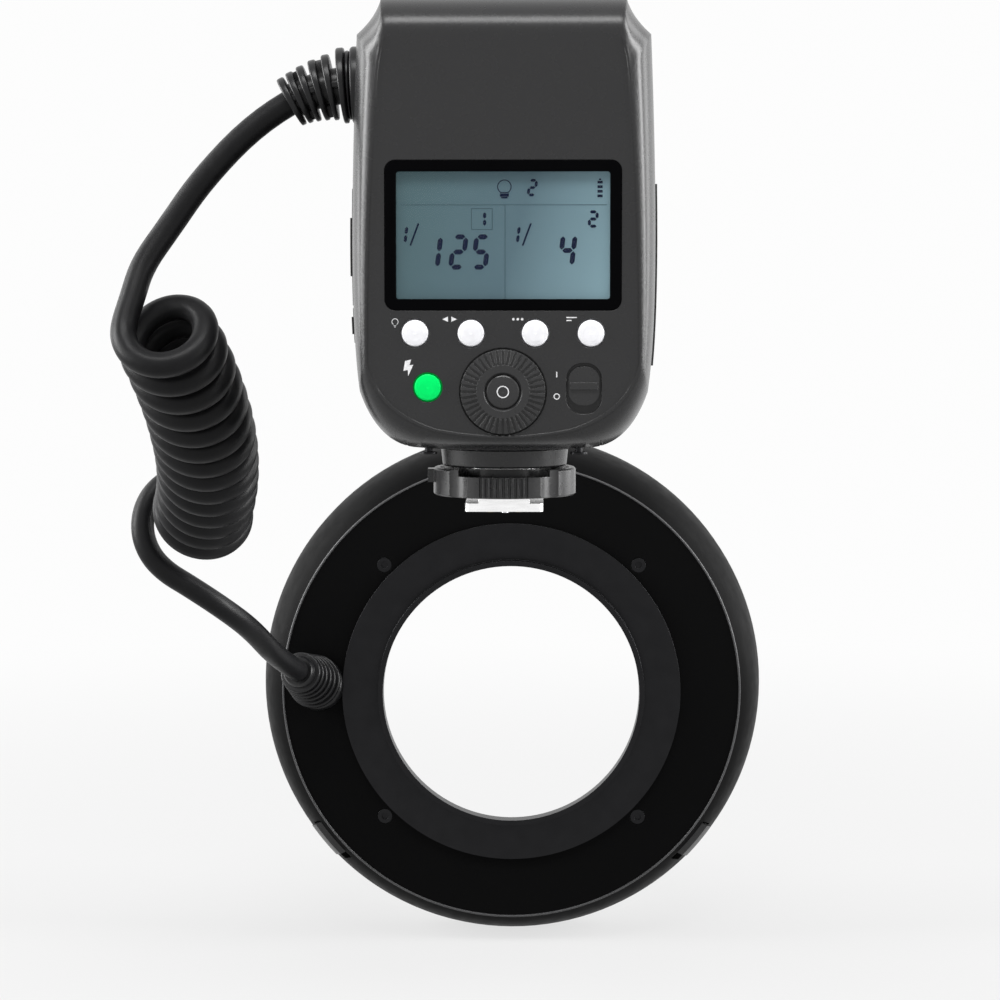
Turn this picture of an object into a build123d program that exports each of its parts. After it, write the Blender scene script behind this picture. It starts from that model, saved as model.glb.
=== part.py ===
from build123d import *
import math
import os

# Macro ring flash: a controller on a hot-shoe foot, a coiled cord and a ring-shaped flash head.
# Millimetres. X to the right seen from behind, Y forward towards the subject, Z up.
# The origin is the middle of the foot's underside.

# Fits and small sizes that many pieces share
overrun = 1.0
wall = 2.0
seat_gap = 0.3
running_fit = 0.05
screw_fit = 0.1
edge_round = 0.4

# Controller housing
body_half = 35.6
body_height = 106.3
body_underside = 14.8
body_back = -27.0
rear_depth = 16.0
middle_depth = 27.0
nose_depth = 12.0
body_split = body_back + rear_depth
body_nose = body_split + middle_depth
body_front = body_nose + nose_depth
split_line = 0.3
front_width_share = 0.88
front_height_share = 0.93
section_shares = [0, 0.12, 0.33, 0.6, 0.82, 1]

# Outlines of the housing as shares of its half width and height: the corner, side and shoulder
# curves run through every second point, and the last one starts the flat top
full_bottom_share = 0
full_outline_shares = [(0.600, 0.008), (0.806, 0.044), (0.952, 0.130), (1.0, 0.42),
                       (0.967, 0.917), (0.858, 0.957), (0.800, 1.0)]
panel_bottom_share = 0.035
panel_outline_shares = [(0.449, 0.050), (0.747, 0.105), (0.899, 0.195), (0.880, 0.519),
                        (0.823, 0.830), (0.803, 0.873), (0.772, 0.912)]

# Raised lip along the sides and bottom of the rear panel, and the parting grooves below it
lip_width = 0.6
lip_proud = 0.25
lip_top_share = 0.9
parting_place = 22.8
parting_width = 0.5
parting_depth = 0.5
parting_height = 3.0

# Display in the rear panel
bezel_side_margin = 8.4
bezel_width = 2 * (body_half - bezel_side_margin)
bezel_height = 34.3
bezel_middle = 65.25
bezel_round = 2.5
bezel_depth = 1.5
bezel_fit = 0.12
bezel_proud = 0.1
frame_side = 2.6
frame_top = 2.55
view_width = bezel_width - 2 * frame_side
view_height = bezel_height - 2 * frame_top
view_round = 0.6
window_thickness = 0.9
ledge_width = 2.0
glass_rise = 0.8
module_margin = 2.9
module_width = view_width + 2 * module_margin
module_height = view_height + 2 * module_margin

# Main board behind the panel
board_depth = 8.1
board_front = body_back + board_depth
board_thickness = 1.6
board_side_gap = 7.4
board_half = body_half - board_side_gap
pillar_inset = 2.0
pillar_spread = board_half - pillar_inset
lower_pillar_gap = 10.45
upper_pillar_gap = 10.75
lower_pillar_height = bezel_middle - module_height / 2 - lower_pillar_gap
upper_pillar_height = bezel_middle + module_height / 2 + upper_pillar_gap
board_low_margin = 12.3
board_top_margin = 3.5
board_bottom = lower_pillar_height - board_low_margin
board_top = upper_pillar_height + board_top_margin
board_round = 4.0
boss_radius = 2.4
screw_radius = 0.9
screw_head_radius = 1.8
screw_head_height = 1.2
screw_bite = 4.0

# Buttons in the rear panel
button_radius = 3.03
button_hole_radius = 3.45
button_row = 42.8
outer_button_share = 0.5702
inner_button_share = 0.2079
outer_button_place = body_half * outer_button_share
inner_button_place = body_half * inner_button_share
test_button_place = (-17.4, 30.3)
button_proud = 0.6
button_dome = 0.35
button_flange_radius = 3.9
button_flange_height = 0.8
button_stem_radius = 1.2
button_travel = 0.8
dome_shares = [(0, 0), (0.6, 0.22), (0.92, 0.63), (1, 1)]
pad_thickness = 1.0
pad_margin = 2.0

# Dial and its middle button
dial_height = 29.3
dial_radius = 9.75
dial_hole_radius = 10.1
dial_proud = 1.5
dial_edge_proud = 0.7
dial_flat_radius = 6.7
dial_bore_radius = 4.1
dial_flange_radius = 10.8
dial_flange_height = 1.0
dial_hub_radius = 6.4
dial_ridge_count = 40
dial_ridge_width = 0.55
dial_ridge_depth = 0.45
encoder_width = 15.0
encoder_height = 2.2
set_button_radius = 3.8
set_button_proud = 1.7
set_button_dome = 0.5
set_flange_radius = 4.9
set_bore_radius = 5.2
set_flange_height = 0.9
set_skirt = 1.2

# Power switch
switch_place = (18.7, 30.0)
switch_pocket_width = 8.2
switch_pocket_length = 11.8
switch_pocket_depth = 1.5
switch_knob_width = 7.2
switch_knob_length = 9.0
switch_knob_gap = 0.8
switch_travel = 1.7
switch_ridge_width = 1.6
switch_ridge_proud = 0.5
switch_stem_width = 2.2
switch_stem_length = 3.0
switch_body_width = 7.0
switch_body_length = 10.0

# Power board near the front, and what it carries
power_board_depth = 8.0
power_board_front = body_front - power_board_depth
power_board_side_gap = 7.9
power_board_half = body_half - power_board_side_gap
power_pillar_inset = 3.5
power_pillar_spread = power_board_half - power_pillar_inset
power_board_bottom = 24.0
power_board_top = 112.0
capacitor_radius = 11.5
capacitor_end_gap = 3.0
capacitor_length = 2 * (power_pillar_spread - capacitor_end_gap)
capacitor_sleeve_groove = 0.6
transformer_width = 18.0
transformer_height = 8.0
transformer_depth = 13.0
transformer_bottom = 24.6
lamp_width = 10.0
lamp_height = 8.0

# Battery on the right-hand side and its tray
battery_low = 34.8
battery_height = 42.8
battery_gap = 8.7
battery_back = board_front + board_thickness + battery_gap
battery_thickness = 22.0
battery_proud = 0.6
battery_grip_depth = 0.8
battery_grip_width = 1.4
tray_gap = 0.4
tray_wall = 1.2
mouth_depth = 4.0
tray_mouth = body_half - mouth_depth
capacitor_gap = 4.3
tray_top = battery_low + battery_height + tray_gap + tray_wall
capacitor_height = tray_top + capacitor_gap + capacitor_radius
contact_width = 3.0
contact_length = 1.1
contact_spacing = 7.0
tray_foot_height = 5.0
latch_gap = 3.0
latch_low = battery_low + battery_height + latch_gap
latch_height = 5.0
latch_width = 10.0
latch_travel = 2.5
latch_plate = 2.0
latch_plate_overlap = 1.6
latch_proud = 0.3
latch_rib_count = 3
latch_rib_width = 0.5

# Covers, sockets and their board on the left-hand side
port_low = 49.0
port_height = 27.6
sync_low = 40.1
sync_height = 8.2
port_back = -6.0
port_front = 8.0
cover_proud = 0.6
cover_sink = 1.0
cover_fit = 0.25
cover_lip = 1.6
port_board_gap = 9.0
port_board_place = port_board_gap - body_half
port_board_thickness = 1.6
port_board_margin = 2.1
port_board_low = sync_low - port_board_margin
port_board_high = port_low + port_height + port_board_margin
battery_end_gap = 6.9
battery_inner_end = port_board_place + battery_end_gap
port_board_front = 10.0
usb_height = 9.0
usb_width = 3.3
usb_place = 68.0
sync_radius = 2.6
sync_bore_radius = 1.25
socket_place = 1.0
socket_fit = 0.25

# Red window on the front
assist_half = 19.0
assist_low = 88.0
assist_height = 20.0
assist_round = 4.0
assist_thickness = 1.4

# Screws under the housing
cover_screw_spread = 17.6
cover_screw_head_radius = 2.0
cover_screw_proud = 0.5
cover_screw_length = 6.0
rear_screw_place = -17.0
front_screw_place = 12.0

# Hot-shoe foot, collar and lock wheel
foot_width = 18.6
foot_length = 18.0
foot_thickness = 2.0
foot_corner = 1.2
neck_width = 12.2
rail_space = 1.6
foot_boss_radius = 9.6
collar_radius = 15.3
collar_low_radius = 14.9
collar_low = 10.6
wheel_radius = 17.1
wheel_top = 10.2
wheel_dish_inner = 11.0
wheel_dish_outer = 15.6
wheel_dish_floor = 6.0
wheel_low_front = 1.6
wheel_low_half = 10.8
wheel_waist_radius = 7.0
wheel_waist_depth = 0.8
wheel_waist_turn = 40.0
wheel_groove_count = 9
wheel_groove_angle = 4.6
wheel_groove_radius = 0.4
wheel_tab_proud = 1.3
wheel_tab_width = 5.0
wheel_tab_height = 3.2
insert_width = 11.6
insert_length = 12.4
insert_depth = 1.4
insert_fit = 0.05
pin_radius = 0.9
pin_proud = 0.35
pin_spread = 3.3
pin_rows = (-0.6, -4.2)
lock_pin_place = 7.4
lock_pin_radius = 0.9
lock_pin_proud = 1.5
lock_pin_travel = 2.0
lock_pin_top = 9.4
lock_head_radius = 1.4
lock_head_height = 1.0
spring_wire = 0.3
spring_turns = 6
spring_radius = 0.95
spring_room = 2.2

# Cord
cord_diameter = 6.2
relief_sink = 0.2
relief_base = relief_sink - body_half
relief_height = 101.4
relief_bend_radius = 32.2
relief_bend_angle = 30.0
relief_core_radius = 4.6
relief_ring_count = 7
relief_ring_thickness = 1.35
relief_ring_first = 2.6
relief_ring_step = 2.25
relief_base_radius = 8.6
relief_tip_radius = 6.3
relief_flange_radius = 9.0
relief_flange = 1.5
relief_plug_radius = 5.2
relief_bridge_width = 2.6
coil_turns = 14.18
coil_first_turn = -0.04
coil_start = (-80.3, -16.0, 44.0)
coil_end = (-83.2, 73.0, -9.2)
coil_bow = (6.0, 0.7, -3.0)
coil_radius = 9.4
coil_spread = 0.6
coil_spread_turns = 6
last_loop_growth = 4.7
last_loop_rise = 6.0
last_loop_turns = 1.0
upper_first_run = 9.0
upper_route = [(-72.2, -1.9, 79.0), (-80.0, -4.0, 67.4)]
upper_last_run = 9.0
lower_first_run = 11.0
lower_route = [(-69.9, 82.5, -39.6)]
lower_last_run = 19.5

# Ring head: radii from its own axis, which runs forward below the foot
ring_height = -64.0
ring_back = 134.4
casing_depth = 20.6
front_depth = 8.0
ring_seam = ring_back + casing_depth
ring_front = ring_seam + front_depth
ring_radius = 73.4
ring_width = 28.4
ring_back_inset = 7.2
ring_back_radius = ring_radius - ring_back_inset
ring_flank_shares = (0.68, 0.42)
bore_radius = ring_radius - ring_width
bore_wall = 1.6
trim_width = 11.4
trim_outer = bore_radius + trim_width
trim_lip = 1.0
diffuser_overlap = 1.2
diffuser_thickness = 2.2
diffuser_ridge_count = 6
diffuser_ridge_height = 0.4
bezel_lip = 3.2
bezel_edge_round = 1.6
ring_seam_gap = 0.3
ring_screw_inset = 7.0
ring_screw_circle = bore_radius + ring_screw_inset
ring_screw_turns = (45, 135, 225, 315)
ring_screw_radius = 1.0
ring_screw_head_radius = 2.1
ring_screw_head_height = 1.4
ring_screw_length = 17.0
ring_boss_radius = 3.0
lug_radius = 2.6
ring_board_depth = 8.6
ring_board_back = ring_back + ring_board_depth
ring_board_thickness = 1.4
ring_board_gap = 1.6
ring_board_inner = bore_radius + bore_wall + ring_board_gap
ring_board_inset = 6.9
ring_board_outer = ring_radius - ring_board_inset
reflector_near = 12.2
reflector_inner = bore_radius + reflector_near
reflector_inset = 4.4
reflector_outer = ring_radius - reflector_inset
reflector_wall = 0.8
reflector_gap = 2.0
reflector_bottom = ring_board_back + ring_board_thickness + reflector_gap
reflector_turn = 160.0
tube_circle = (reflector_inner + reflector_outer) / 2
tube_radius = 2.3
tube_lift = 6.0
tube_place = reflector_bottom + tube_lift
tube_turn = 142.0
cap_radius = 2.7
cap_turn = 5.5
lamp_inset = 6.0
lamp_circle = bore_radius + lamp_inset
lamp_radius = 1.7
lamp_window_radius = 2.3
lamp_window_thickness = 1.2
lamp_post_width = 3.4
lamp_turns = (0, 90, 180, 270)

# Release latches of the ring head
latch_turn = 28.0
latch_pivot_inset = 12.5
latch_pivot_circle = bore_radius + latch_pivot_inset
latch_arm = 14.0
latch_bar_width = 5.0
latch_bar_depth = 3.0
latch_bar_back = ring_back + latch_bar_depth
latch_bar_thickness = 3.4
latch_pin_radius = 1.5
latch_hub_radius = 3.2
tooth_reach = 1.1
tooth_width = 4.0
pad_width = 11.0
pad_proud = 0.9
latch_swing = 6.0
latch_slot_gap = 0.6

# Adapter ring for the lens
thread_inset = 6.5
thread_radius = bore_radius - thread_inset
thread_length = 3.6
thread_wall = 1.5
adapter_opening = thread_radius - thread_wall
adapter_overlap = 4.0
adapter_flange_radius = bore_radius + adapter_overlap
adapter_flange = 1.4
adapter_depth = 11.6
adapter_front = ring_back + adapter_depth
adapter_wall = 4.0
adapter_skirt = bore_radius - adapter_wall
adapter_groove_depth = 2.0
adapter_groove = bore_radius - adapter_groove_depth
adapter_groove_place = 2.6
adapter_groove_back = ring_back + adapter_groove_place
adapter_groove_length = 4.4

# Relief where the cord meets the ring head
gland_inset = 17.4
gland_reach = ring_radius - gland_inset
gland_rise = 2.0
gland_lean = (-0.22, -0.92, 0.32)
gland_length = 20.0
gland_root_radius = 7.2
gland_tip_radius = 4.6
gland_ring_count = 5
gland_ring_thickness = 1.5
gland_ring_step = 2.9
gland_ring_first = 4.0
gland_ring_height = 1.1


def box_between(x_low, x_high, y_low, y_high, z_low, z_high):
    """Box given by its lowest and highest values along each axis."""
    middle = ((x_low + x_high) / 2, (y_low + y_high) / 2, (z_low + z_high) / 2)
    return Pos(*middle) * Box(x_high - x_low, y_high - y_low, z_high - z_low)


def rod_x(radius, x_low, x_high, y, z):
    """Cylinder along X."""
    middle = ((x_low + x_high) / 2, y, z)
    return Pos(*middle) * Rot(0, 90, 0) * Cylinder(radius, x_high - x_low)


def rod_y(radius, y_low, y_high, x, z):
    """Cylinder along Y."""
    middle = (x, (y_low + y_high) / 2, z)
    return Pos(*middle) * Rot(90, 0, 0) * Cylinder(radius, y_high - y_low)


def rod_z(radius, z_low, z_high, x, y):
    """Cylinder along Z."""
    middle = (x, y, (z_low + z_high) / 2)
    return Pos(*middle) * Cylinder(radius, z_high - z_low)


def slab_y(sketch, y_low, y_high, x=0, z=0):
    """Solid of a sketch seen from behind, from one depth to another."""
    face = Plane(origin=(x, y_low, z), x_dir=(1, 0, 0), z_dir=(0, -1, 0)) * sketch
    return extrude(face, amount=y_high - y_low, dir=(0, 1, 0))


def turned_y(points, x=0, z=0, turn=360, start=0):
    """Solid of revolution about an axis along Y from (radius, depth) points."""
    corners = [(x + radius, depth, z) for radius, depth in points]
    face = make_face(Polyline(*corners, close=True))
    axis = Axis((x, 0, z), (0, 1, 0))
    solid = revolve(face, axis=axis, revolution_arc=turn)
    return Pos(x, 0, z) * Rot(0, start, 0) * Pos(-x, 0, -z) * solid


def passing_curve(start, middle, end):
    """Smooth curve from start to end through a middle point."""
    control = tuple(2 * m - (s + e) / 2 for s, m, e in zip(start, middle, end))
    return Bezier(start, control, end)


# Controller housing

def outline_points(shares, inset):
    """Right-hand outline points for a housing outline drawn in by a margin."""
    bottom = body_underside + inset
    height = body_height - 2 * inset
    return [(body_half * wide - inset, bottom + height * high) for wide, high in shares]


def blended_shares(blend):
    """Outline shares between the rear panel and the full housing."""
    pairs = zip(panel_outline_shares, full_outline_shares)
    points = [tuple(p + (f - p) * blend for p, f in zip(panel, full)) for panel, full in pairs]
    bottom = panel_bottom_share + (full_bottom_share - panel_bottom_share) * blend
    return points, bottom


def narrowed_shares(blend):
    """Outline shares between the full housing and its rounded front."""
    width = 1 + (front_width_share - 1) * blend
    height = 1 + (front_height_share - 1) * blend
    middle = (full_bottom_share + 1) / 2
    points = [(w * width, middle + (h - middle) * height) for w, h in full_outline_shares]
    return points, middle + (full_bottom_share - middle) * height


def outline_face(y, shares, bottom_share, inset):
    """Closed outline of the housing in the plane at one depth."""
    right = outline_points(shares, inset)
    left = [(-wide, high) for wide, high in right]
    low = outline_points([(0, bottom_share)], inset)[0][1]
    curves = [passing_curve(left[0], (0, low), right[0])]
    curves += [passing_curve(right[i], right[i + 1], right[i + 2]) for i in (0, 2, 4)]
    curves += [Line(right[-1], left[-1])]
    curves += [passing_curve(left[i + 2], left[i + 1], left[i]) for i in (4, 2, 0)]
    plane = Plane(origin=(0, y, 0), x_dir=(1, 0, 0), z_dir=(0, -1, 0))
    return plane * make_face(curves)


def housing_rear(back, inset):
    """Rounded rear part of the housing, from the panel to the widest section."""
    depth = body_split - back
    faces = []
    for share in section_shares:
        turn = share * math.pi / 2
        points, bottom = blended_shares(math.sin(turn))
        faces.append(outline_face(back + depth * (1 - math.cos(turn)), points, bottom, inset))
    return loft(faces)


def housing_middle(start, end, inset):
    """Straight part of the housing."""
    face = outline_face(start, full_outline_shares, full_bottom_share, inset)
    return extrude(face, amount=end - start, dir=(0, 1, 0))


def housing_nose(front, inset):
    """Rounded front part of the housing."""
    depth = front - body_nose
    faces = []
    for share in section_shares:
        turn = share * math.pi / 2
        points, bottom = narrowed_shares(1 - math.cos(turn))
        faces.append(outline_face(body_nose + depth * math.sin(turn), points, bottom, inset))
    return loft(faces)


def housing_grown(margin):
    """Straight housing shape grown all round, to fit pieces to its sides."""
    return housing_middle(body_back, body_front, -margin)


def panel_slot(width, height, y_low, y_high, x, z, radius):
    """Rounded rectangle through the rear panel."""
    return slab_y(RectangleRounded(width, height, radius), y_low, y_high, x, z)


button_names = ["light_button", "arrow_button", "custom_button", "ratio_button"]
button_places = [-outer_button_place, -inner_button_place, inner_button_place, outer_button_place]
panel_inside = body_back + wall
flange_front = panel_inside + seat_gap
pillar_places = [(side * pillar_spread, height)
                 for side in (-1, 1) for height in (lower_pillar_height, upper_pillar_height)]
power_pillar_places = [(side * power_pillar_spread, height)
                       for side in (-1, 1) for height in (lower_pillar_height, upper_pillar_height)]
board_back = board_front + board_thickness
power_board_rear = power_board_front - board_thickness
screw_half_spread = cover_screw_spread


def pillars(places, y_low, y_high, hole_from, hole_to):
    """Board pillars with their screw holes."""
    solids = [rod_y(boss_radius, y_low, y_high, x, z) for x, z in places]
    holes = [rod_y(screw_radius + screw_fit, hole_from, hole_to, x, z) for x, z in places]
    return solids, holes


def screw_post(y):
    """Bosses for the two screws under one cover, and their holes."""
    top = body_underside + cover_screw_length + wall
    solids = []
    holes = []
    for side in (-1, 1):
        x = side * screw_half_spread
        solids.append(rod_z(boss_radius, body_underside + wall / 2, top, x, y))
        high = body_underside + cover_screw_length + seat_gap
        holes.append(rod_z(screw_radius + screw_fit, body_underside - overrun, high, x, y))
    return solids, holes


def switch_pocket(margin, y_low, y_high):
    """Oval pocket of the power switch, grown by a margin."""
    x, z = switch_place
    width = switch_pocket_width + 2 * margin
    length = switch_pocket_length + 2 * margin
    return slab_y(RectangleRounded(width, length, width / 2 - edge_round), y_low, y_high, x, z)


def switch_knob_middle():
    """Height of the knob's middle: it rests near the top of its pocket."""
    return switch_place[1] + (switch_pocket_length - switch_knob_length) / 2 - switch_knob_gap


def panel_lip():
    """Raised lip along the sides and bottom of the rear panel."""
    rims = []
    for inset in (0, lip_width):
        face = outline_face(body_back - lip_proud, panel_outline_shares, panel_bottom_share, inset)
        rims.append(extrude(face, amount=lip_proud + wall / 2, dir=(0, 1, 0)))
    top = body_underside + body_height * lip_top_share
    return (rims[0] - rims[1]) & box_between(-body_half, body_half, body_back - overrun,
                                             body_back + wall, 0, top)


def parting_grooves():
    """Two grooves where the housing's underside piece starts."""
    grooves = []
    core = housing_rear(body_back, parting_depth)
    for side in (-1, 1):
        x = side * parting_place
        groove = box_between(x - parting_width / 2, x + parting_width / 2, body_back, body_split,
                             0, body_underside + parting_height)
        grooves.append(groove - core)
    return grooves


def make_rear_cover():
    """Rear housing shell with the display pocket and the control openings."""
    cover = housing_rear(body_back, 0)
    cavity = housing_rear(panel_inside, wall)
    flange_back = flange_front + dial_flange_height
    cavity += rod_y(dial_flange_radius + seat_gap, panel_inside, flange_back + seat_gap, 0,
                    dial_height)
    cover -= cavity
    pocket_floor = body_back + bezel_depth
    tub = switch_pocket(wall, panel_inside - overrun, body_back + switch_pocket_depth + wall)
    cover += [tub, panel_lip()]
    cover -= parting_grooves()
    solids, holes = pillars(pillar_places, panel_inside - overrun, board_front,
                            board_front - screw_bite, board_front + overrun)
    posts, post_holes = screw_post(rear_screw_place)
    trimmed = housing_rear(body_back, wall / 2)
    cover += [solid & trimmed for solid in solids + posts]
    cover -= holes + post_holes
    cover -= panel_slot(bezel_width + 2 * bezel_fit, bezel_height + 2 * bezel_fit,
                        body_back - overrun, pocket_floor, 0, bezel_middle, bezel_round)
    cover -= panel_slot(view_width + ledge_width, view_height + ledge_width, body_back,
                        panel_inside + overrun, 0, bezel_middle, view_round)
    for x in button_places:
        cover -= rod_y(button_hole_radius, body_back - overrun, panel_inside + overrun, x,
                       button_row)
    test_x, test_z = test_button_place
    cover -= rod_y(button_hole_radius, body_back - overrun, panel_inside + overrun, test_x, test_z)
    cover -= rod_y(dial_hole_radius, body_back - overrun, panel_inside + overrun, 0, dial_height)
    cover -= switch_pocket(0, body_back - overrun, body_back + switch_pocket_depth)
    slot_width = switch_stem_width + 2 * seat_gap
    slot_low = switch_knob_middle() - switch_travel - switch_stem_length / 2 - seat_gap
    slot_high = switch_knob_middle() + switch_stem_length / 2 + seat_gap
    x = switch_place[0]
    cover -= box_between(x - slot_width / 2, x + slot_width / 2, body_back,
                         body_back + switch_pocket_depth + wall + overrun, slot_low, slot_high)
    split = body_split - split_line
    return cover & box_between(-body_half, body_half, body_back - overrun, split, 0,
                               2 * body_height)


def side_plate(x_side, y_low, y_high, z_low, z_high, out, depth):
    """Plate that follows the housing's side, from outside it to a depth within it."""
    x_low, x_high = sorted((x_side * body_half / 2, x_side * (body_half + out + overrun)))
    block = box_between(x_low, x_high, y_low, y_high, z_low, z_high)
    return (block & housing_grown(out)) - housing_grown(-depth)


def port_pocket(z_low, height):
    """Shallow pocket for a cover on the left-hand side."""
    return side_plate(-1, port_back - cover_fit, port_front + cover_fit, z_low - cover_fit,
                      z_low + height + cover_fit, overrun, cover_sink)


def battery_mouth():
    """Opening for the battery in the right-hand side."""
    return box_between(tray_mouth - overrun, body_half + overrun, battery_back - tray_gap,
                       battery_back + battery_thickness + tray_gap, battery_low - tray_gap,
                       battery_low + battery_height + tray_gap)


def latch_window():
    """Slot in the right-hand side in which the battery latch slides."""
    middle = battery_back + battery_thickness / 2
    return box_between(body_half / 2, body_half + overrun, middle - latch_width / 2 - seat_gap,
                       middle + latch_width / 2 + seat_gap, latch_low - seat_gap,
                       latch_low + latch_height + latch_travel + seat_gap)


def usb_opening(margin, x_low, x_high):
    """Space of the data socket, grown by a margin."""
    return box_between(x_low, x_high, socket_place - usb_width / 2 - margin,
                       socket_place + usb_width / 2 + margin, usb_place - usb_height / 2 - margin,
                       usb_place + usb_height / 2 + margin)


def sync_middle():
    """Height of the sync socket's axis."""
    return sync_low + sync_height / 2


def make_front_cover():
    """Front housing shell with the battery mouth, port pockets and cord hole."""
    cover = housing_middle(body_split, body_nose, 0) + housing_nose(body_front, 0)
    inside = body_front - wall
    cavity = housing_middle(body_split - overrun, body_nose, wall) + housing_nose(inside, wall)
    cover -= cavity
    solids, holes = pillars(power_pillar_places, power_board_front, inside + overrun,
                            power_board_front - overrun, power_board_front + screw_bite)
    posts, post_holes = screw_post(front_screw_place)
    trimmed = housing_middle(body_split, body_nose, wall / 2) + housing_nose(body_front, wall / 2)
    cover += [solid & trimmed for solid in solids + posts]
    cover -= holes + post_holes
    cover -= battery_mouth()
    cover -= latch_window()
    cover -= port_pocket(port_low, port_height)
    cover -= port_pocket(sync_low, sync_height)
    cover -= usb_opening(socket_fit, -body_half, -body_half / 2)
    cover -= rod_x(sync_radius + socket_fit, -body_half, -body_half / 2, socket_place,
                   sync_middle())
    cover -= rod_x(relief_plug_radius + screw_fit, -body_half - overrun, -body_half / 2, 0,
                   relief_height)
    cover -= panel_slot(2 * assist_half, assist_height, body_front - assist_thickness,
                        body_front + overrun, 0, assist_low + assist_height / 2, assist_round)
    lens_half = assist_half - wall
    cover -= panel_slot(2 * lens_half, assist_height - 2 * wall, inside - overrun, body_front,
                        0, assist_low + assist_height / 2, assist_round - wall / 2)
    return cover


# Display

def make_lcd_bezel():
    """Gloss frame round the display."""
    front = body_back - bezel_proud
    back = body_back + bezel_depth
    frame = panel_slot(bezel_width, bezel_height, front, back, 0, bezel_middle, bezel_round)
    return frame - panel_slot(view_width, view_height, front - overrun, back + overrun, 0,
                              bezel_middle, view_round)


def make_lcd_window():
    """Clear pane in the frame's opening."""
    margin = 2 * running_fit
    front = body_back + bezel_depth - window_thickness - seat_gap
    return panel_slot(view_width - margin, view_height - margin, front, front + window_thickness,
                      0, bezel_middle, view_round - running_fit)


def make_lcd_module():
    """Display glass on its lit backing."""
    front = body_back + bezel_depth
    face = panel_slot(view_width, view_height, front, panel_inside + glass_rise, 0,
                      bezel_middle, view_round)
    backing = panel_slot(module_width, module_height, panel_inside + seat_gap, board_front, 0,
                         bezel_middle, view_round)
    return face + backing


# Boards

def make_main_board():
    """Circuit board behind the panel."""
    height = board_top - board_bottom
    board = panel_slot(2 * board_half, height, board_front, board_back, 0,
                       (board_top + board_bottom) / 2, board_round)
    for x, z in pillar_places:
        board -= rod_y(screw_radius + screw_fit, board_front - overrun, board_back + overrun, x, z)
    return board


def make_power_board():
    """Circuit board near the front."""
    height = power_board_top - power_board_bottom
    board = panel_slot(2 * power_board_half, height, power_board_rear, power_board_front, 0,
                       (power_board_top + power_board_bottom) / 2, board_round)
    for x, z in power_pillar_places:
        board -= rod_y(screw_radius + screw_fit, power_board_rear - overrun,
                       power_board_front + overrun, x, z)
    return board


def board_screw(x, z, seat, way):
    """Screw whose head seats at one depth and whose shaft runs back or forward."""
    head = sorted((seat, seat - way * screw_head_height))
    shaft = sorted((seat, seat + way * (board_thickness + screw_bite - seat_gap)))
    return rod_y(screw_head_radius, head[0], head[1], x, z) + rod_y(screw_radius, shaft[0],
                                                                    shaft[1], x, z)


def make_board_screws():
    """The eight screws that hold the two boards."""
    screws = [board_screw(x, z, board_back, -1) for x, z in pillar_places]
    screws += [board_screw(x, z, power_board_rear, 1) for x, z in power_pillar_places]
    return screws


# Controls

def make_push_button(x, z):
    """Round button with its retaining flange and stem."""
    stem_end = pad_front() - button_travel - seat_gap
    points = dome(button_radius, body_back - button_proud, button_dome)
    points += [(button_radius, flange_front), (button_flange_radius, flange_front),
               (button_flange_radius, flange_front + button_flange_height),
               (button_stem_radius, flange_front + button_flange_height),
               (button_stem_radius, stem_end), (0, stem_end)]
    return turned_y(points, x, z)


def dome(radius, top, depth):
    """Points of a button's rounded top, from its middle to its edge."""
    return [(radius * wide, top + depth * deep) for wide, deep in dome_shares]


def pad_front():
    """Depth of the rubber pad's front."""
    return board_front - pad_thickness


def make_button_pad():
    """Rubber pad under the buttons, with a leg to the test button."""
    half = outer_button_place + button_radius + pad_margin / 2
    strip = box_between(-half, half, pad_front(), board_front, button_row - button_radius,
                        button_row + button_radius)
    test_x, test_z = test_button_place
    leg = box_between(test_x - button_radius, test_x + button_radius, pad_front(), board_front,
                      test_z - button_radius, button_row)
    notches = [rod_y(boss_radius + seat_gap, pad_front() - overrun, board_front + overrun, x, z)
               for x, z in pillar_places]
    return strip + leg - notches


def dial_ridge(turn):
    """One groove across the sloping face of the dial."""
    middle = (dial_radius + dial_flat_radius) / 2
    length = dial_radius - dial_flat_radius
    block = Box(length + overrun, dial_proud, dial_ridge_width)
    slope = math.degrees(math.atan((dial_proud - dial_edge_proud) / length))
    lift = (dial_proud + dial_edge_proud) / 2 - dial_ridge_depth
    depth = body_back - lift - dial_proud / 2
    placed = Pos(middle, depth, 0) * Rot(0, 0, slope) * block
    return Pos(0, 0, dial_height) * Rot(0, turn, 0) * placed


def make_dial():
    """Ridged dial with its flange and hub."""
    face = body_back - dial_proud
    edge = body_back - dial_edge_proud
    flange_back = flange_front + dial_flange_height
    hub_end = board_front - encoder_height - seat_gap
    set_shoulder = body_back + set_skirt - set_button_dome
    points = [(dial_bore_radius, face + edge_round), (dial_bore_radius + edge_round, face),
              (dial_flat_radius, face), (dial_radius, edge), (dial_radius, flange_front),
              (dial_flange_radius, flange_front), (dial_flange_radius, flange_back),
              (dial_hub_radius, flange_back), (dial_hub_radius, hub_end),
              (set_bore_radius, hub_end), (set_bore_radius, set_shoulder),
              (dial_bore_radius, set_shoulder)]
    dial = turned_y(points, 0, dial_height)
    for index in range(dial_ridge_count):
        dial -= dial_ridge(index * 360 / dial_ridge_count)
    return dial


def make_set_button():
    """Domed button in the middle of the dial."""
    flange = body_back + set_skirt - set_button_dome + seat_gap
    stem_end = board_front - encoder_height - button_travel - seat_gap
    points = dome(set_button_radius, body_back - set_button_proud, set_button_dome)
    points += [(set_button_radius, flange), (set_flange_radius, flange),
               (set_flange_radius, flange + set_flange_height),
               (button_stem_radius, flange + set_flange_height),
               (button_stem_radius, stem_end), (0, stem_end)]
    return turned_y(points, 0, dial_height)


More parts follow.
